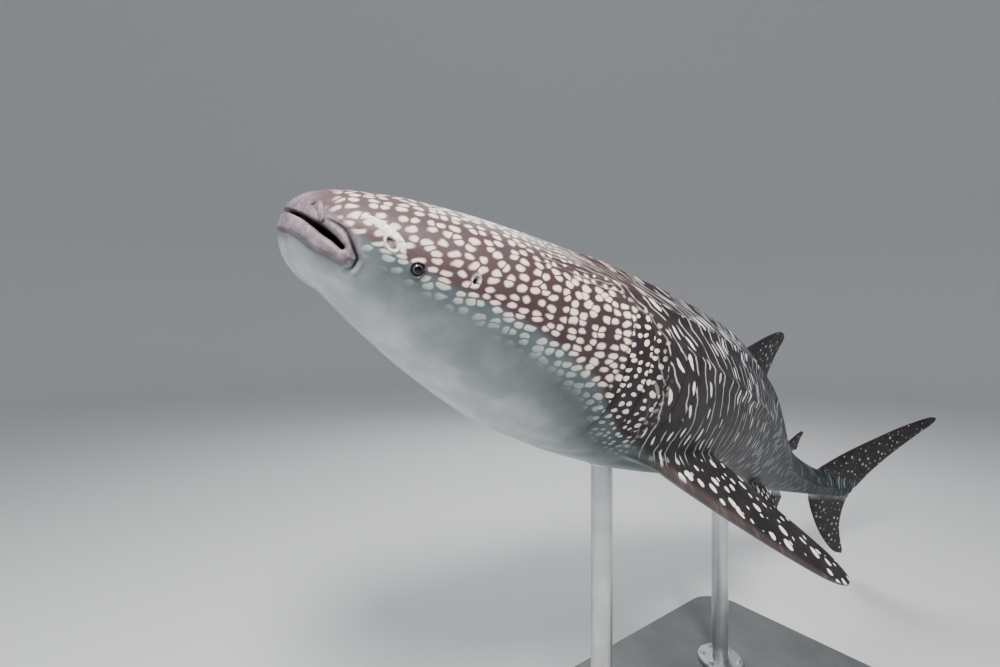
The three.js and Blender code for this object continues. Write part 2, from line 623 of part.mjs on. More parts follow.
const head = wholeHead();
addNode("head", largest(head.subtract(jawBlock(0))), skinDark);
addNode("lower_jaw", largest(head.intersect(jawBlock(GAP))), lipPale);
addNode("gill_region", bodyLength(CUTS.head, CUTS.gills), skinDark);
addNode("trunk_front", bodyLength(CUTS.gills, CUTS.front), skinDark);
addNode("trunk_middle", bodyLength(CUTS.front, CUTS.middle), skinDark);
addNode("trunk_rear", bodyLength(CUTS.middle, CUTS.rear), skinDark);
addNode("tail_stalk", bodyLength(CUTS.rear, CUTS.stalk), skinDark);

addNode("dorsal_fin_first", largest(fin(fill(FIRST_DORSAL, 16), middlePlane).subtract(trimmer)), finDark);
addNode("dorsal_fin_second", largest(fin(fill(SECOND_DORSAL, 10), middlePlane).subtract(trimmer)), finDark);
addNode("anal_fin", largest(fin(fill(ANAL, 10), hanging).subtract(trimmer)), finDark);

addNode("tail_fin_upper", largest(fin(fill(TAIL_UPPER, 16), middlePlane).subtract(trimmer)), finDark);
addNode("tail_fin_lower", largest(fin(fill(TAIL_LOWER, 12), hanging).subtract(trimmer)), finDark);

for (const [side, name] of [[-1, "left"], [1, "right"]]) {
  addNode(`pectoral_fin_${name}`, largest(pairedFin(PECTORAL, side, 16)), finDark);
  addNode(`pelvic_fin_${name}`, largest(pairedFin(PELVIC, side, 10)), finDark);
  addNode(`eye_${name}`, eyeball(side), eyeBlack);
  addNode(`nasal_flap_${name}`, largest(nasalFlap(side).subtract(head).subtract(trimmer)), lipPale);
}

addNode("stand_base", standBase(), standPaint);
for (const [name, post] of Object.entries(POSTS)) {
  addNode(`stand_post_${name}`, standPost(post), standPaint);
  addNode(`stand_flange_${name}`, standFlange(post), standPaint);
}

export default part;
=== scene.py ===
# A life-size display model of a young whale shark on its stand, dressed for the studio.
# Metres, +Z up. The head points to -X and the left side faces -Y.
import json
import math

import bmesh
import bpy
import numpy as np
from mathutils import Matrix, Vector
from mathutils.kdtree import KDTree

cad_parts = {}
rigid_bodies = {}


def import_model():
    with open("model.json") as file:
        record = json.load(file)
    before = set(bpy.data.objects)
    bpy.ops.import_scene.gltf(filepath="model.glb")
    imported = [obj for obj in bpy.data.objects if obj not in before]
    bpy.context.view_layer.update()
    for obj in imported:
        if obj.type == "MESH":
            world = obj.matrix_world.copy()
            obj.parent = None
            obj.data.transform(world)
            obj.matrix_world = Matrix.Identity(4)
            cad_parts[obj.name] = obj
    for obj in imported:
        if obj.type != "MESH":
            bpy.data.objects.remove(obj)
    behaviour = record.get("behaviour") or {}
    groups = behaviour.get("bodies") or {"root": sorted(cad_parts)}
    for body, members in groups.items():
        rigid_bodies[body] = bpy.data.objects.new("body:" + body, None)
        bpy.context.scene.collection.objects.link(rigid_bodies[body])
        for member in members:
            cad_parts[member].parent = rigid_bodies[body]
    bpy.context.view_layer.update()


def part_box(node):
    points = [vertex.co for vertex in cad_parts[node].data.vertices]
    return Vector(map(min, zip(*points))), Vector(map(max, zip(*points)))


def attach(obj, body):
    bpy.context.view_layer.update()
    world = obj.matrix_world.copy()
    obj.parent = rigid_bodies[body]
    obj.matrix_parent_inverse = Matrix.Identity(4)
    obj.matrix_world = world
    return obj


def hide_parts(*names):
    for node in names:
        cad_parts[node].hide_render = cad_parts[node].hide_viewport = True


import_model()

# The body's form
# A young whale shark's body is a flattened, blunt head, a deep trunk with low ridges and a tapering tail
# stalk. Its places are shares of the length: s runs from the snout to the tail's tip, and an angle on the
# skin is 90 on the back, 0 on the flank and -90 on the belly.
LENGTH = 5.0
SHOULDER_STATION = 0.2
SHOULDER = np.array([-0.76, 0.02, 1.82])
HEADING = [
    (0, -3.9), (0.05, -4.4), (0.1, -3.8), (0.2, 0), (0.3, 4.3), (0.4, 7.7), (0.5, 9.3), (0.6, 7.6),
    (0.7, 0.8), (0.79, -12.4), (0.9, -29.6), (1, -39.8),
]
DIP = [
    (0, 22.5), (0.1, 20), (0.2, 18.1), (0.25, 17.8), (0.35, 19.9), (0.45, 24.4), (0.5, 25.7), (0.6, 24.2),
    (0.7, 20.5), (0.79, 16.8), (0.9, 11.2), (1, 7.4),
]
ROLL = [(0, 11.6), (0.2, 12.8), (0.5, 15.7), (0.7, 13), (0.79, 8.7), (0.9, 2.5), (1, -1.4)]
HALF_WIDTH = [
    (0.03, 0.0655), (0.06, 0.0714), (0.1, 0.0776), (0.15, 0.0825), (0.2, 0.0862), (0.25, 0.0872),
    (0.3, 0.0838), (0.4, 0.0688), (0.5, 0.053), (0.6, 0.0375), (0.7, 0.0243), (0.76, 0.0188),
    (0.785, 0.0165), (0.81, 0.0098), (0.84, 0.0055), (0.87, 0.0035),
]
BACK = [
    (0, 0.0205), (0.01, 0.0213), (0.03, 0.0262), (0.045, 0.0322), (0.06, 0.0366), (0.1, 0.0458),
    (0.15, 0.053), (0.2, 0.0585), (0.25, 0.063), (0.3, 0.0665), (0.36, 0.0685), (0.42, 0.0665),
    (0.5, 0.057), (0.6, 0.042), (0.7, 0.0282), (0.79, 0.0185), (0.87, 0.012),
]
BELLY = [
    (0.03, 0.0313), (0.06, 0.0445), (0.1, 0.0595), (0.15, 0.0735), (0.2, 0.08), (0.25, 0.0815), (0.3, 0.0797),
    (0.4, 0.0694), (0.5, 0.0545), (0.6, 0.0417), (0.7, 0.028), (0.79, 0.018), (0.87, 0.01),
]
ROUNDNESS = [(0, 2.5), (0.1, 2.3), (0.2, 2.1), (0.5, 2.05), (0.8, 2)]
SNOUT_PLAN = (0.045, 2.6)
SNOUT_PROFILE = (0.032, 2.1)


def smooth(stations, x):
    """A curve through (place, value) stations that never swings past them."""
    at, value = np.array(stations, float).T
    x = np.clip(np.asarray(x, float), at[0], at[-1])
    slope = np.diff(value) / np.diff(at)
    both = slope[:-1] * slope[1:]
    inner = np.where(both > 0, 2 * both / np.where(both > 0, slope[:-1] + slope[1:], 1), 0)
    tangent = np.concatenate([slope[:1], inner, slope[-1:]])
    k = np.clip(np.searchsorted(at, x, side="right") - 1, 0, len(at) - 2)
    h = at[k + 1] - at[k]
    t = (x - at[k]) / h
    start = value[k] * (1 + 2 * t) * (1 - t) ** 2 + h * tangent[k] * t * (1 - t) ** 2
    return start + value[k + 1] * t * t * (3 - 2 * t) + h * tangent[k + 1] * t * t * (t - 1)


def heading(s):
    yaw, dip = np.radians(smooth(HEADING, s)), np.radians(smooth(DIP, s))
    return np.stack([np.cos(yaw) * np.cos(dip), np.sin(yaw) * np.cos(dip), -np.sin(dip)], -1)


STEPS = 500
walk = np.cumsum(heading((np.arange(STEPS) + 0.5) / STEPS) * LENGTH / STEPS, axis=0)
spine = np.vstack([np.zeros(3), walk])


def spine_at(s):
    s = np.asarray(s, float)
    inside = np.clip(s, 0, 1) * STEPS
    low = np.minimum(inside.astype(int), STEPS - 1)
    share = (inside - low)[..., None]
    beyond = (s - np.clip(s, 0, 1))[..., None] * LENGTH
    return spine[low] * (1 - share) + spine[low + 1] * share + beyond * heading(s)


SHIFT = SHOULDER - spine_at(SHOULDER_STATION)


def frame_at(s):
    """The place of the spine line and the directions along, right and up there."""
    along = heading(s)
    yaw = np.radians(smooth(HEADING, s))
    level = np.stack([-np.sin(yaw), np.cos(yaw), 0 * yaw], -1)
    lift = np.cross(along, level)
    roll = np.radians(smooth(ROLL, s))[..., None]
    right = level * np.cos(roll) + lift * np.sin(roll)
    up = lift * np.cos(roll) - level * np.sin(roll)
    return spine_at(s) + SHIFT, along, right, up


def place(s, right, up):
    """A point of the body from shares of its length: station, offset to the right, offset up."""
    centre, _, across, over = frame_at(s)
    right, up = (LENGTH * np.asarray(share)[..., None] for share in (right, up))
    return centre + across * right + over * up


def bump(x):
    return np.where(np.abs(x) < 1, (1 + np.cos(np.pi * np.clip(x, -1, 1))) / 2, 0)


def step(x, low, high):
    t = np.clip((x - low) / (high - low), 0, 1)
    return t * t * (3 - 2 * t)


def bluntness(form, s):
    reach, power = form
    inside = np.clip(1 - np.maximum(s, 0) / reach, 0, 1)
    return np.where(s >= reach, 1, (1 - inside**power) ** (1 / power))


# Ridges and gill slits
# Three ridges of skin run along each side and one along the nape, and the lowest grows into the keel of
# the tail stalk. Each gill slit is a flap of skin whose free edge stands up a little in front of a groove
# that is darkened with painted shade.
RIDGES = [
    (
        [(0, 74), (0.12, 68), (0.25, 61), (0.45, 62), (0.8, 66)],
        [(0.1, 0), (0.2, 0.0024), (0.45, 0.0026), (0.6, 0)],
        4.5,
    ),
    (
        [(0, 50), (0.12, 46), (0.25, 38), (0.45, 38), (0.8, 40)],
        [(0.12, 0), (0.2, 0.0026), (0.5, 0.003), (0.68, 0)],
        4.5,
    ),
    (
        [(0, 20), (0.15, 20), (0.3, 12), (0.5, 8), (0.8, 0)],
        [(0.14, 0), (0.28, 0.0026), (0.5, 0.0034), (0.66, 0.006), (0.77, 0.011), (0.8, 0.006), (0.83, 0)],
        5.5,
    ),
]
NAPE = ([(0.08, 0), (0.2, 0.002), (0.4, 0.0025), (0.46, 0)], 5)
GILL_PLACES = (0.177, 0.1935, 0.2095, 0.2245, 0.2385)
GILL_TOPS = (44, 43, 41, 38, 33)
GILL_FEET = (-36, -33, -29, -24, -17)
GILL_RISE, GILL_DEPTH = 0.0017, 0.0029
GILL_LEAD, GILL_WALL, GILL_OUT = 0.0095, 0.0008, 0.0046
GILL_LEAN = [(0.155, 0), (GILL_PLACES[0] - GILL_LEAD, 1), (GILL_PLACES[4] + GILL_OUT, 1), (0.285, 0)]
GILL_LEAN_MOST, GILL_LEAN_MIDDLE, GILL_LEAN_REACH = 0.007, 4, 38
# How far behind each slit its painted shade reaches.
GILL_SHADE_WIDTH = 0.0009


def gill_lean(s, angle):
    """How far the slits' upper ends lie ahead of the lower ones."""
    reach = np.clip((GILL_LEAN_MIDDLE - angle) / GILL_LEAN_REACH, -1, 1)
    return GILL_LEAN_MOST * reach * smooth(GILL_LEAN, s)


def gill_relief(s, angle):
    """The height of the flaps, and the painted shade that darkens the grooves behind them."""
    relief, dark = 0 * s, 0 * s
    for at, top, foot in zip(GILL_PLACES, GILL_TOPS, GILL_FEET):
        share = np.abs(angle - (top + foot) / 2) / ((top - foot) / 2)
        fade = np.clip((1 - share) * 4, 0, 1)
        x = s - at
        rise = np.where((x > -GILL_LEAD) & (x <= 0), GILL_RISE * np.clip(1 + x / GILL_LEAD, 0, 1) ** 1.6, 0)
        wall = np.where((x > 0) & (x < GILL_WALL), GILL_RISE - (GILL_RISE + GILL_DEPTH) * x / GILL_WALL, 0)
        out = np.clip((GILL_OUT - x) / (GILL_OUT - GILL_WALL), 0, 1)
        slope = np.where(x >= GILL_WALL, -GILL_DEPTH * out**1.5, 0)
        relief = relief + fade * (rise + wall + slope)
        # Painted shade in the groove just behind the flap's free edge.
        groove = np.where(x > -0.0002, 0.85 * np.clip(1 - (x - GILL_WALL) / GILL_SHADE_WIDTH, 0, 1), 0)
        dark = np.maximum(dark, fade * groove)
    return relief, dark


def ridge_relief(s, angle):
    height, spread = NAPE
    relief = smooth(height, s) * bump((angle - 90) / spread)
    for crest, rise, width in RIDGES:
        relief = relief + smooth(rise, s) * bump((angle - smooth(crest, s)) / width)
    return relief


def skin_point(s, angle, side, out=0.0):
    """A point of the skin. side is -1 on the left, 1 on the right, and out moves it outwards, in metres."""
    s, angle = np.asarray(s, float), np.asarray(angle, float)
    w = smooth(HALF_WIDTH, s) * bluntness(SNOUT_PLAN, s)
    h = np.where(angle >= 0, smooth(BACK, s), smooth(BELLY, s)) * bluntness(SNOUT_PROFILE, s)
    c, q = np.maximum(np.cos(np.radians(angle)), 0), np.sin(np.radians(angle))
    power = 2 / smooth(ROUNDNESS, s)
    across, rise = w * c**power, h * np.sign(q) * np.abs(q) ** power
    lean = c * h / np.maximum(w, 1e-6)
    size = np.maximum(np.hypot(lean, q), 1e-9)
    relief = ridge_relief(s, angle) + gill_relief(s, angle)[0] + np.asarray(out) / LENGTH
    return place(s + gill_lean(s, angle), side * (across + lean / size * relief), rise + q / size * relief)


# The mouth's line, lips and the folds of the face
# The mouth runs right across the blunt snout and droops to its corners. A furrow starts over the upper
# lip and curls down behind the corner. The left cheek carries a healed wound: a pale lumpy welt with an
# oval hollow that is darkened with painted shade.
CORNER = 0.0318
MOUTH_LINE = [
    (0, -0.5), (0.002, -1.2), (0.006, -1.8), (0.011, -3.2), (0.0155, -4.6), (0.02, -6), (0.025, -8.8),
    (0.029, -11.2), (CORNER, -13.2),
]
MOUTH_OPEN = [
    (0, 0.006), (0.006, 0.0067), (0.011, 0.0085), (0.015, 0.011), (0.02, 0.0095), (0.025, 0.007),
    (0.029, 0.003), (CORNER, 0.0004),
]


def trail(stops, side, count=60):
    """Points of a smooth path over the skin through (s, angle) stops."""
    stops = np.array(stops, float)
    at = np.arange(len(stops))
    t = np.linspace(0, len(stops) - 1, count)
    s = smooth(np.stack([at, stops[:, 0]], 1), t)
    angle = smooth(np.stack([at, stops[:, 1]], 1), t)
    return skin_point(s, angle, side)


def nearest(points, path):
    """For each point, its distance to a path and the share of the path at which it is nearest."""
    best = np.full(len(points), 9.0)
    share = np.zeros(len(points))
    for i in range(len(path) - 1):
        a, d = path[i], path[i + 1] - path[i]
        t = np.clip(((points - a) @ d) / (d @ d), 0, 1)
        gap = np.linalg.norm(points - a - t[:, None] * d, axis=1)
        closer = gap < best
        best = np.where(closer, gap, best)
        share = np.where(closer, (i + t) / (len(path) - 1), share)
    return best, share


FURROW = [
    (0.0133, 3), (0.0195, 2), (0.0249, -0.5), (0.0299, -7), (0.0328, -12.7), (0.0328, -18), (0.0307, -23),
]
SCAR = [(0.0283, 18.4), (0.0336, 16.9), (0.037, 14.1), (0.0415, 11.2), (0.0461, 7.3), (0.0482, 3.4)]
HOLLOW = (0.0424, 4.8)
NASAL_FLAP = [(0.0098, 21), (0.0115, 12), (0.0137, 0.5)]
NASAL_PIT = (0.0088, 21)
EYE = (0.057, -1)
SPIRACLE = (0.083, 5)
NOSTRIL = (0.0125, 16)


# The skin's grid
# One sheet of skin covers the whole animal. It is laid out as rings round the body and columns along it,
# with rings close together at the snout, the face and the gill slits, and it is divided again round the
# eyes, mouth and fins.
def rounding(share):
    """The station at which the snout has reached a share of its full breadth."""
    reach, power = SNOUT_PLAN
    return reach * (1 - (1 - share**power) ** (1 / power))


snout = rounding(np.linspace(0.012, 0.9, 20))
flap = np.array([
    -GILL_LEAD, -0.0062, -0.0037, -0.0018, -0.0007, 0, 0.0003, 0.0006,
    GILL_WALL, 0.0012, 0.002, 0.0031, GILL_OUT,
])
flaps = np.concatenate([at + flap for at in GILL_PLACES])
rings = np.concatenate([
    snout, np.arange(snout[-1] + 0.0014, 0.076, 0.0014), np.arange(0.077, 0.166, 0.0026), flaps,
    np.arange(0.246, 0.785, 0.0044), np.arange(0.786, 0.868, 0.004),
])
rings = np.unique(rings)
least = np.where(rings[1:] < snout[-1], 0, 0.00018)
rings = rings[np.concatenate([[True], np.diff(rings) > least])]
COLUMNS = 66
ANCHORS = np.array([0, 11, 22, 34, 48, 66])


def column_angle(j, s):
    """The angle of column j, counted from the back: the ridges' crests keep columns of their own."""
    crests = [smooth(crest, s) for crest, _, _ in RIDGES]
    marks = np.stack([90 + 0 * s, *crests, -25 + 0 * s, -90 + 0 * s])
    k = np.clip(np.searchsorted(ANCHORS, j, side="right") - 1, 0, len(ANCHORS) - 2)
    t = (j - ANCHORS[k]) / (ANCHORS[k + 1] - ANCHORS[k])
    n = np.arange(len(s))
    return marks[k, n] * (1 - t) + marks[k + 1, n] * t


def sheet_to_skin(co):
    """Station, angle and side of points laid out flat as (ring, column)."""
    s = np.interp(co[:, 0], np.arange(len(rings)), rings)
    girth = co[:, 1]
    side = np.where(girth <= COLUMNS, -1.0, 1.0)
    j = np.where(girth <= COLUMNS, girth, 2 * COLUMNS - girth)
    return s, column_angle(j, s), side


def read_points(mesh):
    co = np.empty(len(mesh.vertices) * 3)
    mesh.vertices.foreach_get("co", co)
    return co.reshape(-1, 3)


def face_centres(mesh):
    co = np.empty(len(mesh.polygons) * 3)
    mesh.polygons.foreach_get("center", co)
    return co.reshape(-1, 3)


n_rings, n_columns = len(rings), 2 * COLUMNS
i, j = np.meshgrid(np.arange(n_rings), np.arange(n_columns + 1), indexing="ij")
flat = np.stack([i.ravel(), j.ravel(), 0 * i.ravel()], 1).astype(float)
a = (i[:-1, :-1] * (n_columns + 1) + j[:-1, :-1]).ravel()
quads = np.stack([a, a + n_columns + 1, a + n_columns + 2, a + 1], 1)
sheet = bpy.data.meshes.new("sheet")
sheet.from_pydata(flat.tolist(), [], quads.tolist())

fine_spots = [
    (skin_point(*spot, side), radius)
    for spot, radius in ((EYE, 0.04), (SPIRACLE, 0.03), (NOSTRIL, 0.03)) for side in (-1, 1)
]
lip_s = rounding(np.linspace(0.02, 0.985, 30))
lip_s = lip_s[lip_s < CORNER]
lip_left, lip_right = (skin_point(lip_s, smooth(MOUTH_LINE, lip_s), side) for side in (-1, 1))
mouth_path = np.vstack([lip_left[::-1], lip_right])
mouth_path_s = np.concatenate([lip_s[::-1], lip_s])
fine_paths = [(trail(FURROW, side, 24), 0.016) for side in (-1, 1)]
fine_paths += [(trail(SCAR, -1, 12), 0.03)]
fine_paths += [(mouth_path, 0.04)]
ROOTS = [
    (-1, 0.262, -38, 0.2), (1, 0.262, -38, 0.2), (-1, 0.478, 80, 0.24), (-1, 0.545, -50, 0.13),
    (1, 0.545, -50, 0.13), (-1, 0.69, 85, 0.1), (-1, 0.705, -85, 0.1),
]
FACE_REACH, SLOT_EDGE = 0.55, 0.0036


def mouth_gap(points):
    """The distance to the mouth's middle line, and the station of the nearest place on it."""
    gap, share = nearest(points, mouth_path)
    return gap, np.interp(share * (len(mouth_path) - 1), np.arange(len(mouth_path)), mouth_path_s)


for reach in (1.6, 1.0, 0.0):
    centres = face_centres(sheet)
    where = skin_point(*sheet_to_skin(centres))
    chosen = np.zeros(len(centres), bool)
    for point, radius in fine_spots:
        chosen |= np.linalg.norm(where - point, axis=1) < radius * reach
    near_face = where[:, 0] < SHOULDER[0] - FACE_REACH
    for path, radius in fine_paths:
        chosen[near_face] |= nearest(where[near_face], path)[0] < radius * reach
    if reach == 0:
        gap, at = mouth_gap(where[near_face])
        chosen[near_face] |= np.abs(gap - smooth(MOUTH_OPEN, at)) < SLOT_EDGE
    if reach > 1:
        for side, s, angle, radius in ROOTS:
            chosen |= np.linalg.norm(where - skin_point(s, angle, side), axis=1) < radius
    chosen &= sheet_to_skin(centres)[0] > snout[4]
    bm = bmesh.new()
    bm.from_mesh(sheet)
    bm.faces.ensure_lookup_table()
    edges = {e for n in np.nonzero(chosen)[0] for e in bm.faces[n].edges}
    bmesh.ops.subdivide_edges(bm, edges=list(edges), cuts=1, use_grid_fill=True)
    bm.to_mesh(sheet)
    bm.free()

# The face
# The lips are soft rolls, the lower one standing ahead of the upper, and a flap of skin hangs from each
# nostril over the mouth. The eye sits in a round socket with a raised rim, and the breathing hole behind
# it is a small pit. Painted shade darkens the mouth's slot (over its own dark flesh), the fold under the
# lower lip, the furrows, the nasal flaps' edges, the nasal pits, the eye sockets and the breathing holes.
s, angle, side = sheet_to_skin(read_points(sheet))
plain = skin_point(s, angle, side)
normal = (skin_point(s, angle, side, 0.01) - plain) / 0.01
out = np.zeros(len(s))
crease_shade, bare, welt = np.zeros(len(s)), np.zeros(len(s)), np.zeros(len(s))

front = np.nonzero(s < 0.07)[0]
gap, at = mouth_gap(plain[front])
half = smooth(MOUTH_OPEN, at)
below = angle[front] < smooth(MOUTH_LINE, s[front])
fade = step(CORNER + 0.004 - s[front], 0, 0.008)
LOWER_LIP = [(0, 0.019), (0.012, 0.019), (0.025, 0.0145), (CORNER, 0.006)]
lip = smooth(LOWER_LIP, at)
t = (gap - half) / lip
roll = np.where(t < 1, np.sqrt(np.clip(1 - (1 - t) ** 2, 0, 1)), bump((t - 1) / 1.15))
out[front] += np.where(below & (t > 0), lip * 0.85 * roll * fade, 0)
fold = bump((gap - half - lip * 2.25) / 0.006)
out[front] -= np.where(below, 0.002 * fold * fade, 0)
push = np.clip(1 - gap / 0.09, 0, 1) ** 1.5 * (1 - step(at, 0.002, 0.02))
out[front] += np.where(below, 0.008 * push, -0.002 * push)
t = (gap - half) / 0.009
roll = np.where(t < 1, np.sqrt(np.clip(1 - (1 - t) ** 2, 0, 1)), bump((t - 1) / 2))
out[front] += np.where(~below & (t > 0), 0.0045 * roll * fade, 0)
slot = np.clip(1 - (gap / half) ** 2, 0, 1) ** 1.3 * (half / 0.011) ** 0.8 * fade
# Painted shade inside the mouth's slot, over the mouth's own dark flesh, and in the fold under the lower lip.
crease_shade[front] = 1 - step(gap / half, 0.55, 1.0)
crease_shade[front] = np.maximum(crease_shade[front], np.where(below, 0.35 * fold * fade, 0))
lips = np.where(below, 1 - step(gap - half, lip * 2.0, lip * 2.5), 1 - step(gap, 0.03, 0.05)) * fade
nose = (1 - step(s[front], 0.0035, 0.0125)) * np.where(below, 1 - step(gap, 0.05, 0.09), 1)
bare[front] = np.maximum(lips, nose)

for which in (-1, 1):
    gap, share = nearest(plain[front], trail(FURROW, which))
    depth = 0.0055 * step(share, 0, 0.25) * (1 - 0.75 * step(share, 0.8, 1))
    out[front] += -depth * bump(gap / 0.006) + 0.003 * bump((gap - 0.012) / 0.008) * step(share, 0, 0.2)
    # Painted shade along the furrow.
    dark = np.clip(1.5 * bump(gap / 0.0055), 0, 1) * step(share, 0, 0.1) * (1 - 0.6 * step(share, 0.8, 1))
    crease_shade[front] = np.maximum(crease_shade[front], dark)
    gap, share = nearest(plain[front], trail(NASAL_FLAP, which, 20))
    width = 0.0085 - 0.0025 * share
    out[front] += (0.004 + 0.008 * share) * np.sqrt(np.clip(1 - (gap / width) ** 2, 0, 1))
    bare[front] = np.maximum(bare[front], bump(gap / 0.014))
    # Painted shade round the edge of the nasal flap.
    rim = 0.7 * bump((gap - width - 0.0015) / 0.0028) * step(share, 0.1, 0.3)
    crease_shade[front] = np.maximum(crease_shade[front], rim)
    pit = np.linalg.norm(plain - skin_point(*NASAL_PIT, which), axis=1)
    out -= 0.012 * bump(pit / 0.013)
    # Painted shade in the nasal pit.
    crease_shade = np.maximum(crease_shade, np.clip(1.6 * bump(pit / 0.0115), 0, 1))
    d = np.linalg.norm(plain - skin_point(*EYE, which), axis=1)
    out += -0.011 * (1 - step(d, 0.0115, 0.0150)) + 0.003 * bump((d - 0.0185) / 0.0065)
    # Painted shade in the eye's socket.
    crease_shade = np.maximum(crease_shade, 0.9 * (1 - step(d, 0.0165, 0.0205)))
    offset = plain - skin_point(*SPIRACLE, which)
    along = offset @ frame_at(SPIRACLE[0])[1]
    d = np.sqrt((along * 1.5) ** 2 + (offset**2).sum(1) - along**2) / 0.0105
    out += -0.014 * (1 - step(d, 0.55, 1.0)) + 0.0025 * bump((d - 1.5) / 0.6)
    # Painted shade in the breathing hole.
    crease_shade = np.maximum(crease_shade, 1 - step(d, 0.7, 1.05))
    welt = np.maximum(welt, 0.45 * bump((d - 1.45) / 0.5))

gap, share = nearest(plain[front], trail(SCAR, -1))
left = side[front] < 0
knob = 0.5 + 0.5 * np.sin(share * 31) * np.cos(share * 13 + 1)
wide = 0.0075 + 0.0045 * np.sin(np.pi * share) + 0.0015 * knob
out[front] += np.where(left, 0.0045 * (0.5 + 0.5 * knob) * bump(gap / wide), 0)
welt[front] = np.where(left, 1 - step(gap, wide * 0.65, wide * 0.95), 0)
tilt = skin_point(0.0462, 1.5, -1) - skin_point(0.0385, 9.5, -1)
tilt /= np.linalg.norm(tilt)
offset = plain - skin_point(*HOLLOW, -1)
along = offset @ tilt
d = np.sqrt((along / 0.016) ** 2 + np.maximum((offset**2).sum(1) - along**2, 0) / 0.0098**2)
out += 0.003 * bump((d - 1.2) / 0.5) - 0.004 * (1 - step(d, 0.4, 1))
welt = np.maximum(welt, bump((d - 1.15) / 0.5))
# Painted shade in the scar's hollow.
crease_shade = np.maximum(crease_shade, 0.75 * (1 - step(d, 0.55, 1.0)))
welt = welt * step(d, 0.7, 1.1)

shape = plain + normal * out[:, None]
deep = place(0.04, 0, -0.006)
inwards = deep - shape[front]
inwards /= np.linalg.norm(inwards, axis=1)[:, None]
MOUTH_DEPTH = 0.055
shape[front] += inwards * (MOUTH_DEPTH * slot)[:, None]
# Painted shade in the gill grooves.
crease_shade = np.maximum(crease_shade, gill_relief(s, angle)[1])
sheet.vertices.foreach_set("co", shape.ravel())


def store(mesh, name, *columns):
    layer = mesh.attributes.new(name, "FLOAT_VECTOR", "POINT")
    layer.data.foreach_set("vector", np.stack(columns, 1).ravel())


def shown(name, data):
    """A new object of the scene that holds a mesh, lamp or lens."""
    made = bpy.data.objects.new(name, data)
    bpy.context.scene.collection.objects.link(made)
    return made


def face_out(bm):
    bmesh.ops.recalc_face_normals(bm, faces=bm.faces)
    if bm.calc_volume(signed=True) < 0:
        bmesh.ops.reverse_faces(bm, faces=bm.faces)


# The tone attribute holds the painted shade of the creases, grooves and pits, the bare skin and the scar's
# welt.
store(sheet, "tone", crease_shade, bare, welt)
bm = bmesh.new()
bm.from_mesh(sheet)
bmesh.ops.remove_doubles(bm, verts=bm.verts, dist=0.00002)
rim = [e for e in bm.edges if e.is_boundary]
loops = bmesh.ops.holes_fill(bm, edges=rim, sides=0)
bmesh.ops.triangulate(bm, faces=loops["faces"])
face_out(bm)
bm.to_mesh(sheet)
bm.free()
body = shown("shark_skin", sheet)

# The fins
# Cartilage fins with a blunt leading edge and a thin trailing one, grown out of the skin: two along the
# back, the anal fin, a tall tail fin of two lobes, and paired fins behind the gills and under the rear of
# the body.
FIRST_DORSAL = [
    (0.04, 0.426, 0.522, 0.018), (0.0635, 0.43, 0.519, 0.016), (0.072, 0.4385, 0.535, 0.0125),
    (0.077, 0.4435, 0.537, 0.0115), (0.085, 0.4525, 0.529, 0.0105), (0.098, 0.466, 0.5265, 0.009),
    (0.111, 0.4795, 0.5255, 0.0075), (0.122, 0.492, 0.5265, 0.006), (0.131, 0.504, 0.5275, 0.0045),
    (0.1355, 0.5135, 0.5255, 0.003),
]
SECOND_DORSAL = [
    (0.015, 0.672, 0.702, 0.008), (0.031, 0.674, 0.7, 0.007), (0.036, 0.6785, 0.714, 0.006),
    (0.042, 0.684, 0.713, 0.005), (0.05, 0.692, 0.7115, 0.004), (0.058, 0.701, 0.713, 0.003),
    (0.062, 0.7065, 0.7125, 0.002),
]
ANAL = [
    (0.015, 0.69, 0.718, 0.008), (0.029, 0.692, 0.716, 0.007), (0.034, 0.6965, 0.727, 0.006),
    (0.042, 0.704, 0.7265, 0.005), (0.05, 0.713, 0.727, 0.004), (0.056, 0.72, 0.727, 0.002),
]
TAIL_UPPER = [
    (0.0001, 0.7855, 0.868, 0.012), (0.01, 0.7855, 0.875, 0.0115), (0.018, 0.7855, 0.8805, 0.011),
    (0.03, 0.8, 0.889, 0.0105), (0.047, 0.8235, 0.9035, 0.0095), (0.067, 0.855, 0.922, 0.0085),
    (0.087, 0.889, 0.943, 0.0075), (0.107, 0.924, 0.965, 0.006), (0.121, 0.952, 0.981, 0.0045),
    (0.129, 0.97, 0.987, 0.003), (0.132, 0.979, 0.987, 0.002),
]
TAIL_LOWER = [
    (-0.0001, 0.7855, 0.868, 0.012), (0.01, 0.7855, 0.8635, 0.0115), (0.018, 0.7855, 0.861, 0.011),
    (0.034, 0.796, 0.8595, 0.0095), (0.052, 0.812, 0.861, 0.008), (0.069, 0.828, 0.866, 0.0065),
    (0.084, 0.8445, 0.8725, 0.005), (0.094, 0.8575, 0.8765, 0.003), (0.098, 0.8655, 0.8765, 0.002),
]
PECTORAL_ROOT, PECTORAL_SPAN, PECTORAL_CHORD = (0.234, -42), (0.36, 0.8, -0.48), (0.9, -0.19, 0.4)
PECTORAL = [
    (-0.03, -0.02, 0.054, 0.021), (0, -0.011, 0.055, 0.0195), (0.006, -0.001, 0.064, 0.0175),
    (0.012, 0.0065, 0.073, 0.0165), (0.018, 0.01, 0.075, 0.0155), (0.034, 0.0185, 0.0775, 0.0135),
    (0.058, 0.0325, 0.084, 0.0115), (0.082, 0.0475, 0.0925, 0.0095), (0.106, 0.0635, 0.1005, 0.0075),
    (0.126, 0.0785, 0.105, 0.0055), (0.136, 0.0885, 0.1045, 0.0035), (0.1395, 0.0945, 0.102, 0.002),
]
PELVIC_ROOT, PELVIC_SPAN, PELVIC_CHORD = (0.527, -50), (0.25, 0.72, -0.65), (0.97, 0.05, 0.2)
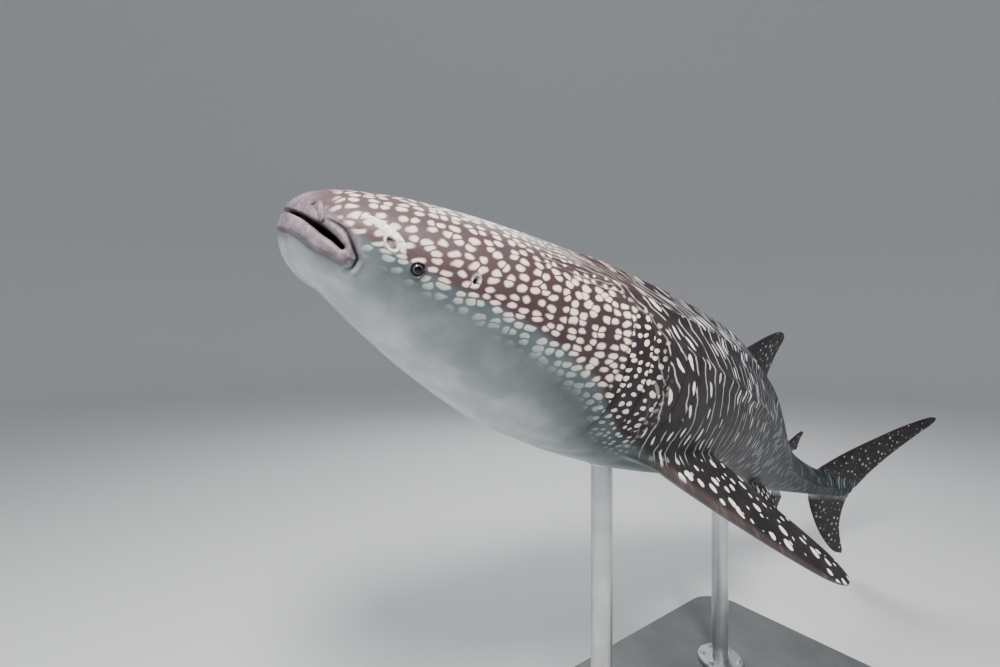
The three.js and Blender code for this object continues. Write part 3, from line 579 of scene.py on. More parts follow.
PELVIC = [
    (-0.02, -0.003, 0.032, 0.009), (0, 0, 0.034, 0.0085), (0.006, 0.004, 0.047, 0.0075),
    (0.016, 0.011, 0.047, 0.0065), (0.027, 0.0205, 0.0475, 0.005), (0.036, 0.03, 0.048, 0.0035),
    (0.041, 0.038, 0.0475, 0.002),
]


def blade(x):
    """The thickness of a fin's section from its leading edge (0) to its trailing edge (1)."""
    return 1.47 * np.sqrt(x) * (1 - x) ** 0.8 + 0.16 * np.minimum(1, 30 * x) * np.minimum(1, 30 * (1 - x))


def standing(sign):
    return lambda chord, span, thick: place(chord, thick, sign * span)


def plane_axes(root, spanwise, chordwise, side):
    centre, along, right, up = frame_at(root[0])
    mix = np.array([along, side * right, up])
    chord, span = np.array(chordwise) @ mix, np.array(spanwise) @ mix
    chord /= np.linalg.norm(chord)
    span /= np.linalg.norm(span)
    span -= span @ chord * chord
    span /= np.linalg.norm(span)
    return skin_point(root[0], root[1], side), chord, span, np.cross(chord, span)


def leaning(axes):
    start, *ways = axes
    return lambda *shares: start + LENGTH * sum(share[..., None] * way for share, way in zip(shares, ways))


def fin_mesh(name, rows, at, spans, chords):
    """A closed loft of streamlined sections through (span, leading edge, trailing edge, thickness) rows."""
    rows = np.array(rows)
    height = np.linspace(rows[0, 0], rows[-1, 0], spans)
    lead, trailing, thick = (smooth(rows[:, [0, k]], height)[:, None] for k in (1, 2, 3))
    x = (1 - np.cos(np.pi * np.arange(chords) / (chords - 1))) / 2
    around = np.concatenate([x, x[-2:0:-1]])
    face = np.concatenate([np.ones(chords), -np.ones(chords - 2)])
    chord = lead + (trailing - lead) * around
    points = at(chord, height[:, None] + 0 * chord, face * thick * blade(around) / 2)
    n = len(around)
    quads = []
    for row in range(spans - 1):
        for k in range(n):
            a, b = row * n + k, row * n + (k + 1) % n
            quads.append((a, b, b + n, a + n))
    for row in (0, spans - 1):
        for k in range(chords - 1):
            loop = (row * n + k, row * n + k + 1, row * n + (n - k - 1) % n, row * n + (n - k) % n)
            quads.append(tuple(dict.fromkeys(loop)))
    mesh = bpy.data.meshes.new(name)
    mesh.from_pydata(points.reshape(-1, 3).tolist(), [], quads)
    bm = bmesh.new()
    bm.from_mesh(mesh)
    face_out(bm)
    bmesh.ops.triangulate(bm, faces=bm.faces)
    for face in bm.faces:
        face.material_index = 1
    bm.to_mesh(mesh)
    bm.free()
    return shown(name, mesh)


FIN_PLANES = {side: plane_axes(PECTORAL_ROOT, PECTORAL_SPAN, PECTORAL_CHORD, side) for side in (-1, 1)}
PELVIC_PLANES = {side: plane_axes(PELVIC_ROOT, PELVIC_SPAN, PELVIC_CHORD, side) for side in (-1, 1)}
fins = [
    fin_mesh("tail_upper", TAIL_UPPER, standing(1), 64, 30),
    fin_mesh("tail_lower", TAIL_LOWER, standing(-1), 44, 30),
    fin_mesh("dorsal_first", FIRST_DORSAL, standing(1), 48, 30),
    fin_mesh("dorsal_second", SECOND_DORSAL, standing(1), 26, 20),
    fin_mesh("anal", ANAL, standing(-1), 26, 20),
]
for side_name, which in (("left", -1), ("right", 1)):
    fins.append(fin_mesh("pectoral_" + side_name, PECTORAL, leaning(FIN_PLANES[which]), 64, 34))
    fins.append(fin_mesh("pelvic_" + side_name, PELVIC, leaning(PELVIC_PLANES[which]), 26, 20))


def join_on(target, tool):
    """Grows one closed piece onto another, with no seam left inside."""
    cut = target.modifiers.new("join", "BOOLEAN")
    cut.operation, cut.solver, cut.object = "UNION", "MANIFOLD", tool
    cut.material_mode = "INDEX"
    joined = bpy.data.meshes.new_from_object(target.evaluated_get(bpy.context.evaluated_depsgraph_get()))
    target.modifiers.remove(cut)
    target.data = joined
    bpy.data.objects.remove(tool)


skin_slot, fin_slot = bpy.data.materials.new("skin"), bpy.data.materials.new("fins")
for piece in [body, *fins]:
    piece.data.materials.append(skin_slot)
    piece.data.materials.append(fin_slot)
for piece in fins:
    join_on(body, piece)

# The fins run into the body in soft hollows: the skin along each seam is drawn smooth, most at the
# pectoral roots.
mesh = body.data
count = len(mesh.vertices)
points = read_points(mesh)
kind = np.empty(len(mesh.polygons), int)
mesh.polygons.foreach_get("material_index", kind)
starts, totals = np.empty(len(mesh.polygons), int), np.empty(len(mesh.polygons), int)
mesh.polygons.foreach_get("loop_start", starts)
mesh.polygons.foreach_get("loop_total", totals)
corners = np.empty(len(mesh.loops), int)
mesh.loops.foreach_get("vertex_index", corners)
of_face = np.repeat(np.arange(len(totals)), totals)
touches = np.zeros((2, count), bool)
for which in (0, 1):
    touches[which, corners[kind[of_face] == which]] = True
seam = np.nonzero(touches[0] & touches[1])[0]
near_seam = KDTree(len(seam))
for n, v in enumerate(seam):
    near_seam.insert(points[v], n)
near_seam.balance()
reach = np.array([near_seam.find(p)[2] for p in points])
pectoral_at = [skin_point(PECTORAL_ROOT[0] + 0.02, PECTORAL_ROOT[1], which) for which in (-1, 1)]
by_pectoral = np.minimum(*[np.linalg.norm(points - at, axis=1) for at in pectoral_at]) < 0.42
PECTORAL_FILLET, FILLET, ROUNDS, LEAST_EDGE = 0.075, 0.036, 70, 0.0004
radius = np.where(by_pectoral, PECTORAL_FILLET, FILLET)
weight = (bump(reach / radius) ** 0.8 * 0.9)[:, None]
ends = np.empty(len(mesh.edges) * 2, int)
mesh.edges.foreach_get("vertices", ends)
ends = ends.reshape(-1, 2)
active = (weight[ends[:, 0], 0] > 0.001) | (weight[ends[:, 1], 0] > 0.001)
ends = ends[active]
for _ in range(ROUNDS):
    length = 1 / np.maximum(np.linalg.norm(points[ends[:, 0]] - points[ends[:, 1]], axis=1), LEAST_EDGE)
    total, mass = np.zeros((count, 3)), np.full(count, 1e-12)
    for from_end, to_end in ((0, 1), (1, 0)):
        for axis in range(3):
            total[:, axis] += np.bincount(ends[:, to_end], length * points[ends[:, from_end], axis], count)
        mass += np.bincount(ends[:, to_end], length, count)
    mean = total / mass[:, None]
    points = np.where(mass[:, None] > 1e-9, points + weight * (mean - points), points)
mesh.vertices.foreach_set("co", points.ravel())

# Where each point lies on the animal: the station, girth and angle for the body's marks, and span and
# chord for those of the fins.
s = np.clip(0.2 + (points - SHOULDER)[:, 0] / 4.4, 0, 1.02)
for _ in range(14):
    centre, along, right, up = frame_at(s)
    s = np.clip(s + ((points - centre) * along).sum(1) / LENGTH, -0.02, 1.03)
offset = points - centre
across, rise = (offset * right).sum(1), (offset * up).sum(1)
w = np.maximum(smooth(HALF_WIDTH, s) * bluntness(SNOUT_PLAN, s), 0.002) * LENGTH
h = np.where(rise >= 0, smooth(BACK, s), smooth(BELLY, s)) * LENGTH
h = h * np.maximum(bluntness(SNOUT_PROFILE, s), 0.05)
angle = np.degrees(np.arctan2(rise / h, np.abs(across) / w))
table_s, table_angle = np.linspace(0, 0.87, 88), np.linspace(90, -90, 121)
grid = skin_point(table_s[:, None] + 0 * table_angle, table_angle + 0 * table_s[:, None], 1)
run = np.cumsum(np.linalg.norm(np.diff(grid, axis=1), axis=2), axis=1)
run = np.hstack([np.zeros((len(table_s), 1)), run])
i = np.clip(s / 0.87 * 87, 0, 86.999)
j = np.clip((90 - angle) / 1.5, 0, 119.999)
i0, j0 = i.astype(int), j.astype(int)
fi, fj = i - i0, j - j0
girth = (run[i0, j0] * (1 - fi) + run[i0 + 1, j0] * fi) * (1 - fj)
girth = girth + (run[i0, j0 + 1] * (1 - fi) + run[i0 + 1, j0 + 1] * fi) * fj
girth = girth * np.where(across < 0, -1, 1)
fin_reach = np.where(touches[1] & ~touches[0], step(reach, 0.004, 0.05), 0.0)
span_at, chord_at = rise.copy(), s * LENGTH
paired, top, edge = np.zeros(count), np.ones(count), np.full(count, 0.5)


def edge_share(rows, height, chord):
    """How far along the fin's chord a point lies, from its leading edge (0) to its trailing edge (1)."""
    rows = np.array(rows)
    lead, trailing = (smooth(rows[:, [0, k]], height) for k in (1, 2))
    return np.clip((chord - lead) / np.maximum(trailing - lead, 1e-4), 0, 1)


for rows, sign in ((TAIL_UPPER, 1), (TAIL_LOWER, -1), (FIRST_DORSAL, 1), (SECOND_DORSAL, 1), (ANAL, -1)):
    low, high = min(r[1] for r in rows), max(r[2] for r in rows)
    mine = touches[1] & (s > low - 0.01) & (s < high + 0.01) & (rise * sign > 0)
    edge[mine] = edge_share(rows, sign * rise[mine] / LENGTH, s[mine])
for which in (-1, 1):
    for rows, axes, limit in ((PECTORAL, FIN_PLANES[which], 0.42), (PELVIC, PELVIC_PLANES[which], 0.2)):
        start, chord, span, normal = axes
        rel = points - start
        mine = touches[1] & (across * which > 0) & (np.linalg.norm(rel, axis=1) < limit * 2.2)
        mine &= np.abs(s - (0.3 if limit > 0.3 else 0.55)) < (0.13 if limit > 0.3 else 0.04)
        mine &= rise < 0.1
        span_at[mine], chord_at[mine] = (rel @ span)[mine], (rel @ chord)[mine]
        edge[mine] = edge_share(rows, span_at[mine] / LENGTH, chord_at[mine] / LENGTH)
        top[mine] = step((rel @ (normal * np.sign(normal[2])))[mine], -0.004, 0.004)
        paired[mine] = 1
store(mesh, "body_place", s * LENGTH, girth, angle / 90)
store(mesh, "fin_place", fin_reach, span_at, chord_at)
store(mesh, "fin_kind", paired, top, edge)
mesh.polygons.foreach_set("use_smooth", np.ones(len(mesh.polygons), bool))
mesh.update()


# The skin's finish
# The back is dark, warm brown on the head and slate towards the tail, under rows of cream spots and thin
# pale bars; the darkening and fading towards the tail is partly painted fall-off of light. The belly is a
# pale grey, with a band along its border that is partly its own darker tone and partly painted shade.
# Painted shade darkens the creases, grooves, pits and sockets, and the gill region behind the first slit.
# Lips and snout are bare and mauve. Fine grain and wrinkles break the sheen.
class Wire:
    """A value between shader nodes. Sums and products of wires add their own Math nodes."""

    def __init__(self, tree, socket):
        self.tree, self.socket = tree, socket

    def math(self, operation, *others):
        return node(self.tree, "ShaderNodeMath", {"operation": operation}, dict(enumerate((self, *others))))

    def __add__(self, other):
        return self.math("ADD", other)

    __radd__ = __add__

    def __sub__(self, other):
        return self.math("SUBTRACT", other)

    def __rsub__(self, other):
        return node(self.tree, "ShaderNodeMath", {"operation": "SUBTRACT"}, {0: other, 1: self})

    def __mul__(self, other):
        return self.math("MULTIPLY", other)

    __rmul__ = __mul__

    def __truediv__(self, other):
        return self.math("DIVIDE", other)

    def __abs__(self):
        return self.math("ABSOLUTE")

    def power(self, other):
        return self.math("POWER", other)

    def larger(self, other):
        return self.math("MAXIMUM", other)

    def smaller(self, other):
        return self.math("MINIMUM", other)

    def rise(self, low, high):
        """0 below low, 1 above high and smooth between, or the other way round."""
        settings = {"interpolation_type": "SMOOTHSTEP"}
        falls = float(low > high)
        values = {0: self, 1: min(low, high), 2: max(low, high), 3: falls, 4: 1 - falls}
        return node(self.tree, "ShaderNodeMapRange", settings, values)


def node(tree, kind, settings=None, values=None, output=0):
    """Adds a node with its settings and the values or wires of its sockets, and gives one of its outputs."""
    made = tree.nodes.new(kind)
    for key, value in (settings or {}).items():
        if key == "stops":
            ramp = made.color_ramp
            while len(ramp.elements) < len(value):
                ramp.elements.new(0.5)
            for element, (position, colour) in zip(ramp.elements, value):
                element.position, element.color = position, (*colour, 1)
        else:
            setattr(made, key, value)
    for key, value in (values or {}).items():
        socket = made.inputs[key]
        if isinstance(value, Wire):
            tree.links.new(value.socket, socket)
        elif isinstance(value, tuple) and len(value) == 3 and socket.type == "RGBA":
            socket.default_value = (*value, 1)
        else:
            socket.default_value = value
    return Wire(tree, made.outputs[output])


def split(wire):
    return [node(wire.tree, "ShaderNodeSeparateXYZ", None, {0: wire}, k) for k in range(3)]


def join(tree, x, y, z=0.0):
    return node(tree, "ShaderNodeCombineXYZ", None, {0: x, 1: y, 2: z})


def mixed(factor, first, second):
    """The first colour where the factor is 0 and the second where it is 1."""
    return node(factor.tree, "ShaderNodeMix", {"data_type": "RGBA"}, {0: factor, 6: first, 7: second}, 2)


def noise(vector, scale, detail=2.0, roughness=0.5, output=0):
    values = {"Vector": vector, "Scale": scale, "Detail": detail, "Roughness": roughness}
    return node(vector.tree, "ShaderNodeTexNoise", None, values, output)


def cells(vector, feature, randomness, output=0):
    settings = {"feature": feature, "voronoi_dimensions": "2D"}
    values = {"Vector": vector, "Scale": 1.0, "Randomness": randomness}
    return node(vector.tree, "ShaderNodeTexVoronoi", settings, values, output)


def attribute(tree, name, output="Vector"):
    return node(tree, "ShaderNodeAttribute", {"attribute_name": name}, None, output)


def ramp(wire, stops):
    return node(wire.tree, "ShaderNodeValToRGB", {"stops": stops}, {0: wire})


def surface(material):
    """The material's tree and its surface shader."""
    material.use_nodes = True
    tree = material.node_tree
    shader = next(n for n in tree.nodes if n.type == "BSDF_PRINCIPLED")
    return tree, shader


tree, shader = surface(skin_slot)
u, v, lift = split(attribute(tree, "body_place"))
crease_shade_mask, bare_mask, welt_mask = split(attribute(tree, "tone"))
fin_mask, span, chord = split(attribute(tree, "fin_place"))
paired_mask, top_mask, edge_at = split(attribute(tree, "fin_kind"))
spot = node(tree, "ShaderNodeTexCoord", None, None, "Object")

# Every mark wanders a little: the places are bent by slow and quick noise before the marks are laid out.
sway = noise(spot, 7.0, 2.0) - 0.5
quiver = noise(spot, 31.0, 1.0) - 0.5
_, quiver_v, _ = split(noise(spot, 34.0, 1.0, 0.5, 1))
u_bent = u + sway * 0.04 + quiver * 0.016
v_bent = v + (quiver_v - 0.5) * 0.016

# The line between back and belly passes under the eye and drops behind the gills. Blurred spots lie along it.
flank = lift + (noise(spot, 5.0, 2.0) - 0.5) * 0.05 + quiver * 0.03
stops = [
    (0, 0.85), (0.04, 0.83), (0.066, 0.795), (0.086, 0.785), (0.113, 0.775), (0.14, 0.74), (0.166, 0.665),
    (0.184, 0.55), (0.21, 0.44), (0.26, 0.37), (0.45, 0.30), (0.8, 0.2),
]
low_line = ramp(u / LENGTH, [(x, (y, y, y)) for x, y in stops])
above = flank - split(low_line)[0] + 0.8
back_mask = above.rise(-0.045, 0.03)
border = above.rise(-0.55, -0.06)
mark_mask = above.rise(-0.17, -0.01)
girth_way = abs(v)
station = (u + sway * 0.12) / LENGTH

# Head: rounded cream ovals in a brown net. In places they run together into crooked bands.
head_place = join(tree, u_bent / 0.034, v_bent / 0.0265)
inset = cells(head_place, "DISTANCE_TO_EDGE", 0.6)
middle = cells(head_place, "F1", 0.6)
runs = noise(spot, 9.0, 1.0).rise(0.55, 0.62) * station.rise(0.085, 0.11)
head_marks = (middle - runs * 0.07).rise(0.46, 0.28) * (inset + runs * 0.03).rise(0.02, 0.13)
head_glow = (middle - runs * 0.1).rise(0.42, 0.16)

# High on the sides of the head: thin pale lines along the body.
streak = ((v_bent + sway * 0.02) / 0.021).math("FRACT")
streak_marks = abs(streak - 0.5).rise(0.14, 0.05) * noise(spot, 12.0, 1.0).rise(0.36, 0.5)
high = lift.rise(0.34, 0.46) * station.rise(0.088, 0.125)
head_marks = head_marks * (1.0 - high) + streak_marks.larger(middle.rise(0.24, 0.16)) * high

# Behind the first gill slit: small crisp round dots, apart from each other.
dot_place = join(tree, u_bent / 0.030, v_bent / 0.028)
size_share, _, _ = split(cells(dot_place, "F1", 0.5, 1))
dot_marks = (cells(dot_place, "F1", 0.5) - size_share * 0.13).rise(0.24, 0.15)

# Trunk: thin wavering lines run down the flank from the back, where they trail forward along the body,
# and long dots stand in a column between each two.
sweep = (girth_way * -5.0).math("EXPONENT")
amount = (1.25 - u * 0.38).larger(0.12).smaller(0.9)
tilt = (0.62 - u * 0.16).larger(0.05)
phase = (u - tilt * girth_way + amount * sweep + sway * 0.06 + quiver * 0.008) / 0.060
steep = 1.05 + amount * sweep * 5.0
offset = abs(phase.math("FRACT") - 0.5)
faint = noise(spot, 14.0, 1.0)
line_marks = (offset / steep).rise(0.055, 0.022) * faint.rise(0.34, 0.5)
column = (phase + 0.5).math("FLOOR")
aside = abs(phase - column)
chance = node(tree, "ShaderNodeTexWhiteNoise", {"noise_dimensions": "1D"}, {"W": column})


def long_dots(along):
    """Dots along a column, at places and sizes that chance gives."""
    place_in = along + chance * 7.0
    number = place_in.math("FLOOR")
    away = place_in - number - 0.5
    cell = {"Vector": join(tree, column, number)}
    luck = node(tree, "ShaderNodeTexWhiteNoise", {"noise_dimensions": "2D"}, cell)
    near = (aside / steep / (0.05 + 0.055 * luck)).power(2.0) + (away / (0.14 + 0.2 * luck)).power(2.0)
    return near.rise(1.3, 0.6) * luck.rise(0.33, 0.43)


flank_dots = long_dots(girth_way / 0.082)
back_dots = long_dots(u / 0.12)
on_back = sweep.rise(0.22, 0.34)
trunk_marks = (line_marks * 0.5).larger(flank_dots * (1.0 - on_back)).larger(back_dots * on_back)
# Marks fade towards the tail: painted fall-off of light along the body.
fading = station.rise(0.78, 0.26) * 0.68 + 0.32

slit = u / LENGTH - (lift + 0.03).power(2.0) * 0.05
behind_head = slit.rise(0.1725, 0.1765)
on_trunk = (station - girth_way * 0.055 + 0.05 * lift.rise(0.25, 0.6)).rise(0.168, 0.186)
marks = head_marks * (1.0 - behind_head) + dot_marks * behind_head
marks = marks * (1.0 - on_trunk) + trunk_marks * on_trunk * fading
near_nose = (u + sway * 0.05).rise(0.05, 0.10)
marks = marks * mark_mask * (1.0 - bare_mask) * near_nose

mottle = noise(spot, 11.0, 4.0)
fine_mottle = noise(spot, 70.0, 3.0)
# The ground darkens strongly from the warm head to the slate tail: partly the animal's own tone, partly
# painted fall-off of light.
ground = ramp(u / LENGTH, [
    (0.0, (0.105, 0.066, 0.072)), (0.10, (0.050, 0.028, 0.031)), (0.165, (0.038, 0.023, 0.026)),
    (0.20, (0.020, 0.0145, 0.017)), (0.30, (0.013, 0.013, 0.018)), (0.50, (0.008, 0.013, 0.019)),
    (1.0, (0.006, 0.016, 0.022)),
])
# Painted shade: the ground between the first gill slit and the trunk is darker.
ground = mixed(behind_head * (1.0 - on_trunk) * 0.7, ground, (0.014, 0.010, 0.012))
ground = mixed(mottle.rise(0.4, 0.8) * 0.25, ground, (0.075, 0.058, 0.066))
belly = mixed(mottle.rise(0.35, 0.7), (0.40, 0.45, 0.46), (0.56, 0.60, 0.60))
# Below the line the belly turns a darker grey-teal: partly the animal's own border tone, partly painted shade
# of the underside.
shade = mixed(mottle.rise(0.3, 0.7), (0.060, 0.080, 0.088), (0.10, 0.125, 0.13))
base = mixed(border, belly, shade)
base = mixed(back_mask, base, ground)
# The cream of the marks dims and cools towards the tail: partly its own tone, partly painted fall-off of
# light.
rim_cream = ramp(u / LENGTH, [
    (0.0, (0.42, 0.28, 0.25)), (0.18, (0.42, 0.30, 0.27)), (0.22, (0.55, 0.49, 0.46)),
    (1.0, (0.32, 0.39, 0.41)),
])
cream = ramp(u / LENGTH, [
    (0.0, (0.80, 0.64, 0.57)), (0.18, (0.86, 0.73, 0.65)), (0.24, (0.88, 0.86, 0.83)),
    (1.0, (0.55, 0.66, 0.68)),
])
mark_colour = mixed(head_glow.larger(behind_head), rim_cream, cream)
# Marks below the line are greyed: partly their own paler tone, partly painted shade of the underside.
mark_colour = mixed((1.0 - back_mask) * 0.8, mark_colour, (0.36, 0.43, 0.43))
base = mixed(marks, base, mark_colour)
mauve = mixed(noise(spot, 40.0, 3.0).rise(0.35, 0.7), (0.17, 0.125, 0.15), (0.29, 0.235, 0.265))
mauve = mixed(fine_mottle.rise(0.52, 0.7) * 0.6, mauve, (0.10, 0.075, 0.09))
base = mixed(bare_mask, base, mauve)

# Fins: dark, with white ovals along the span of the paired ones, a browner leading edge and a pale
# trailing rim.
paired_place = join(tree, (chord + quiver * 0.014) / 0.034, (span + sway * 0.03) / 0.060)
median_place = join(tree, (chord + quiver * 0.01) / 0.040, (span + sway * 0.02) / 0.046)


def fin_dots(place_in, least, most):
    """Dots of many sizes, their radii given in shares of their spacing."""
    size_of, _, _ = split(cells(place_in, "F1", 0.85, 1))
    reach_of = least + (most - least) * size_of.power(1.6)
    return (cells(place_in, "F1", 0.85) - reach_of).rise(0.03, -0.05)


median_spots = fin_dots(median_place, 0.03, 0.24) * (1.0 - paired_mask) * 0.4
spots = fin_dots(paired_place, 0.05, 0.36) * paired_mask + median_spots
fin_ground = mixed(mottle.rise(0.3, 0.8), (0.009, 0.008, 0.010), (0.022, 0.018, 0.020))
streaks = noise(join(tree, chord * 60.0, span * 5.0), 1.0, 2.0).rise(0.5, 0.75)
lead_edge = edge_at.rise(0.16, 0.03) * paired_mask
fin_ground = mixed(lead_edge * (0.35 + streaks * 0.5) + streaks * 0.10, fin_ground, (0.105, 0.075, 0.07))
fin_colour = mixed(spots * edge_at.rise(0.03, 0.10), fin_ground, (0.80, 0.79, 0.77))
fin_colour = mixed(edge_at.rise(0.965, 0.99) * 0.6, fin_colour, (0.32, 0.32, 0.33))
pale_under = mixed(mottle.rise(0.35, 0.7), (0.30, 0.31, 0.32), (0.46, 0.47, 0.47))
under_edge = abs(edge_at - 0.5).rise(0.36, 0.48)
pale_under = mixed(under_edge * 0.7, pale_under, (0.09, 0.085, 0.09))
fin_colour = mixed(top_mask, pale_under, fin_colour)
base = mixed(fin_mask, base, fin_colour)
scab = mixed(noise(spot, 90.0, 3.0).rise(0.25, 0.5), (0.40, 0.30, 0.34), (0.92, 0.87, 0.87))
scab = mixed(noise(spot, 150.0, 1.0).rise(0.68, 0.76), scab, (0.05, 0.035, 0.04))
base = mixed(welt_mask, base, scab)
# Painted shade in the creases, grooves, pits and sockets.
base = mixed(crease_shade_mask, base, (0.010, 0.009, 0.011))
tree.links.new(base.socket, shader.inputs["Base Color"])

# Fine tooth-like grain all over, shallow wrinkles, and spots that stand a hair proud.
grain = noise(spot, 900.0, 2.0, 0.6)
leather = noise(spot, 130.0, 3.0, 0.55)
roughness = 0.40 + 0.18 * leather + 0.06 * marks
tree.links.new(roughness.socket, shader.inputs["Roughness"])
lumps = fine_mottle * bare_mask * 0.8 + welt_mask * noise(spot, 160.0) * 1.2
height = leather * 0.5 + grain * 0.3 + marks * 0.2 + lumps
relief = node(tree, "ShaderNodeBump", None, {"Strength": 0.55, "Distance": 0.002, "Height": height})
tree.links.new(relief.socket, shader.inputs["Normal"])
shader.inputs["Specular IOR Level"].default_value = 0.32
body.data.materials.clear()
body.data.materials.append(skin_slot)
mesh.polygons.foreach_set("material_index", np.zeros(len(mesh.polygons), int))
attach(body, "root")
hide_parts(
    "head", "lower_jaw", "gill_region", "trunk_front", "trunk_middle", "trunk_rear", "tail_stalk",
    "dorsal_fin_first", "dorsal_fin_second", "anal_fin", "tail_fin_upper", "tail_fin_lower",
    "pectoral_fin_left", "pectoral_fin_right", "pelvic_fin_left", "pelvic_fin_right",
    "nasal_flap_left", "nasal_flap_right",
)

# The eyes
# Each is a small dark glass ball set in its socket, with a black pupil, a smoky iris and a clear bulge
# over it.
glass = bpy.data.materials.new("eye_glass")
tree, shader = surface(glass)
ring = attribute(tree, "pupil", "Fac")
iris = mixed(ring.rise(0.56, 0.64), (0.002, 0.002, 0.003), (0.028, 0.026, 0.03))
iris = mixed(ring.rise(0.72, 0.78), iris, (0.11, 0.10, 0.105))
iris = mixed(ring.rise(0.80, 0.88), iris, (0.012, 0.011, 0.013))
tree.links.new(iris.socket, shader.inputs["Base Color"])
shader.inputs["Roughness"].default_value = 0.12
shader.inputs["Coat Weight"].default_value = 0.3
shader.inputs["Coat Roughness"].default_value = 0.03
shader.inputs["Specular IOR Level"].default_value = 0.25
EYE_RADIUS, EYE_OUT, IRIS = 0.016, 0.006, 0.0135
for name, which in (("left", -1), ("right", 1)):
    at = skin_point(*EYE, which)
    out_way = skin_point(*EYE, which, 0.01) - at
    out_way /= np.linalg.norm(out_way)
    bm = bmesh.new()
    bmesh.ops.create_uvsphere(bm, u_segments=48, v_segments=32, radius=EYE_RADIUS)
    turn = Vector((0, 0, 1)).rotation_difference(Vector(out_way)).to_matrix()
    share = np.array([math.hypot(p.co.x, p.co.y) / IRIS if p.co.z > 0 else 2.0 for p in bm.verts])
    for p in bm.verts:
        p.co = turn @ p.co + Vector(at + out_way * (EYE_OUT - EYE_RADIUS))
    ball = bpy.data.meshes.new("eyeball_" + name)
    bm.to_mesh(ball)
    bm.free()
    layer = ball.attributes.new("pupil", "FLOAT", "POINT")
    layer.data.foreach_set("value", share)
    ball.polygons.foreach_set("use_smooth", np.ones(len(ball.polygons), bool))
    ball.materials.append(glass)
    eye = shown("eyeball_" + name, ball)
    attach(eye, "root")
    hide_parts("eye_" + name)

# The stand
# A painted steel plate with a rounded edge carries two brushed steel posts in bolted flanges.


def stand_finish(name, scale, dark, light, sheen, fine):
    """A finish with a slow change of tone and a fine change of sheen."""
    made = bpy.data.materials.new(name)
    tree, shader = surface(made)
    spot = node(tree, "ShaderNodeTexCoord", None, None, "Object")
    tone, detail = scale
    colour = mixed(noise(spot, tone, detail).rise(0.3, 0.7), dark, light)
    tree.links.new(colour.socket, shader.inputs["Base Color"])
    tree.links.new((sheen[0] + sheen[1] * noise(spot, fine, 3.0)).socket, shader.inputs["Roughness"])
    return made, shader


paint, _ = stand_finish(
    "stand_paint", (5.0, 4.0), (0.085, 0.09, 0.095), (0.11, 0.115, 0.12), (0.42, 0.12), 60.0
)
steel, shader = stand_finish(
    "stand_steel", (9.0, 3.0), (0.52, 0.53, 0.54), (0.62, 0.63, 0.64), (0.28, 0.14), 120.0
)
shader.inputs["Metallic"].default_value = 1.0
for name, item in bpy.data.objects.items():
    if name.startswith("stand_") and item.type == "MESH":
        item.material_slots[0].link = "OBJECT"
        item.material_slots[0].material = paint if name == "stand_base" else steel

# The bolts of the stand
# Six hexagon-headed steel bolts on washers hold each flange down. A node tree repeats them round the post.
BOLTS, BOLT_CIRCLE, BOLT_HEAD, BOLT_HEIGHT, WASHER, WASHER_HEIGHT = 6, 0.088, 0.0115, 0.0095, 0.0145, 0.003
SUNK = 0.0003
fittings = bpy.data.node_groups.new("flange_bolts", "GeometryNodeTree")
given = {}
for name, kind, value in (("Bolts", "NodeSocketInt", BOLTS), ("Circle", "NodeSocketFloat", BOLT_CIRCLE)):
    given[fittings.interface.new_socket(name, in_out="INPUT", socket_type=kind).identifier] = value
fittings.interface.new_socket("Geometry", in_out="OUTPUT", socket_type="NodeSocketGeometry")


def disc(sides, radius, depth, height):
    """A prism of the bolts' node tree, lifted to a height."""
    values = {"Vertices": sides, "Radius": radius, "Depth": depth}
    made = node(fittings, "GeometryNodeMeshCylinder", {"fill_type": "NGON"}, values)
    return node(fittings, "GeometryNodeTransform", None, {"Geometry": made, "Translation": (0, 0, height)})


inlet = node(fittings, "NodeGroupInput")
circle_size = Wire(fittings, inlet.socket.node.outputs["Circle"])
circle = node(fittings, "GeometryNodeMeshCircle", None, {"Vertices": inlet, "Radius": circle_size})
head = disc(6, BOLT_HEAD, BOLT_HEIGHT, 0.0078)
washer = disc(28, WASHER, WASHER_HEIGHT, WASHER_HEIGHT / 2)
bolt = node(fittings, "GeometryNodeJoinGeometry", None, {"Geometry": head})
fittings.links.new(washer.socket, bolt.socket.node.inputs["Geometry"])
placed = node(fittings, "GeometryNodeInstanceOnPoints", None, {"Points": circle, "Instance": bolt})
solid = node(fittings, "GeometryNodeRealizeInstances", None, {"Geometry": placed})
finished = node(fittings, "GeometryNodeSetMaterial", None, {"Geometry": solid, "Material": steel})
outlet = fittings.nodes.new("NodeGroupOutput")
fittings.links.new(finished.socket, outlet.inputs["Geometry"])
for end in ("front", "rear"):
    low, high = (Vector(p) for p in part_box("stand_flange_" + end))
    holder = shown("bolt_maker", bpy.data.meshes.new("bolt_maker"))
    maker = holder.modifiers.new("bolts", "NODES")
    maker.node_group = fittings
    for identifier, value in given.items():
        maker[identifier] = value
    bolted = holder.evaluated_get(bpy.context.evaluated_depsgraph_get())
    made = bpy.data.meshes.new_from_object(bolted)
    made.transform(Matrix.Translation(((low.x + high.x) / 2, (low.y + high.y) / 2, high.z - SUNK)))
    bpy.data.objects.remove(holder)
    bolts = shown("stand_bolts_" + end, made)
    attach(bolts, "root")

# The collars of the stand
# A turned steel ring lies level round the head of each post, just inside the belly.
COLLAR = [
    (0.040, 0.030), (0.066, 0.030), (0.072, 0.024), (0.072, 0.004), (0.066, -0.008), (0.058, -0.014),
    (0.052, -0.030), (0.046, -0.034), (0.040, -0.034),
]
COLLAR_DROP = 0.004


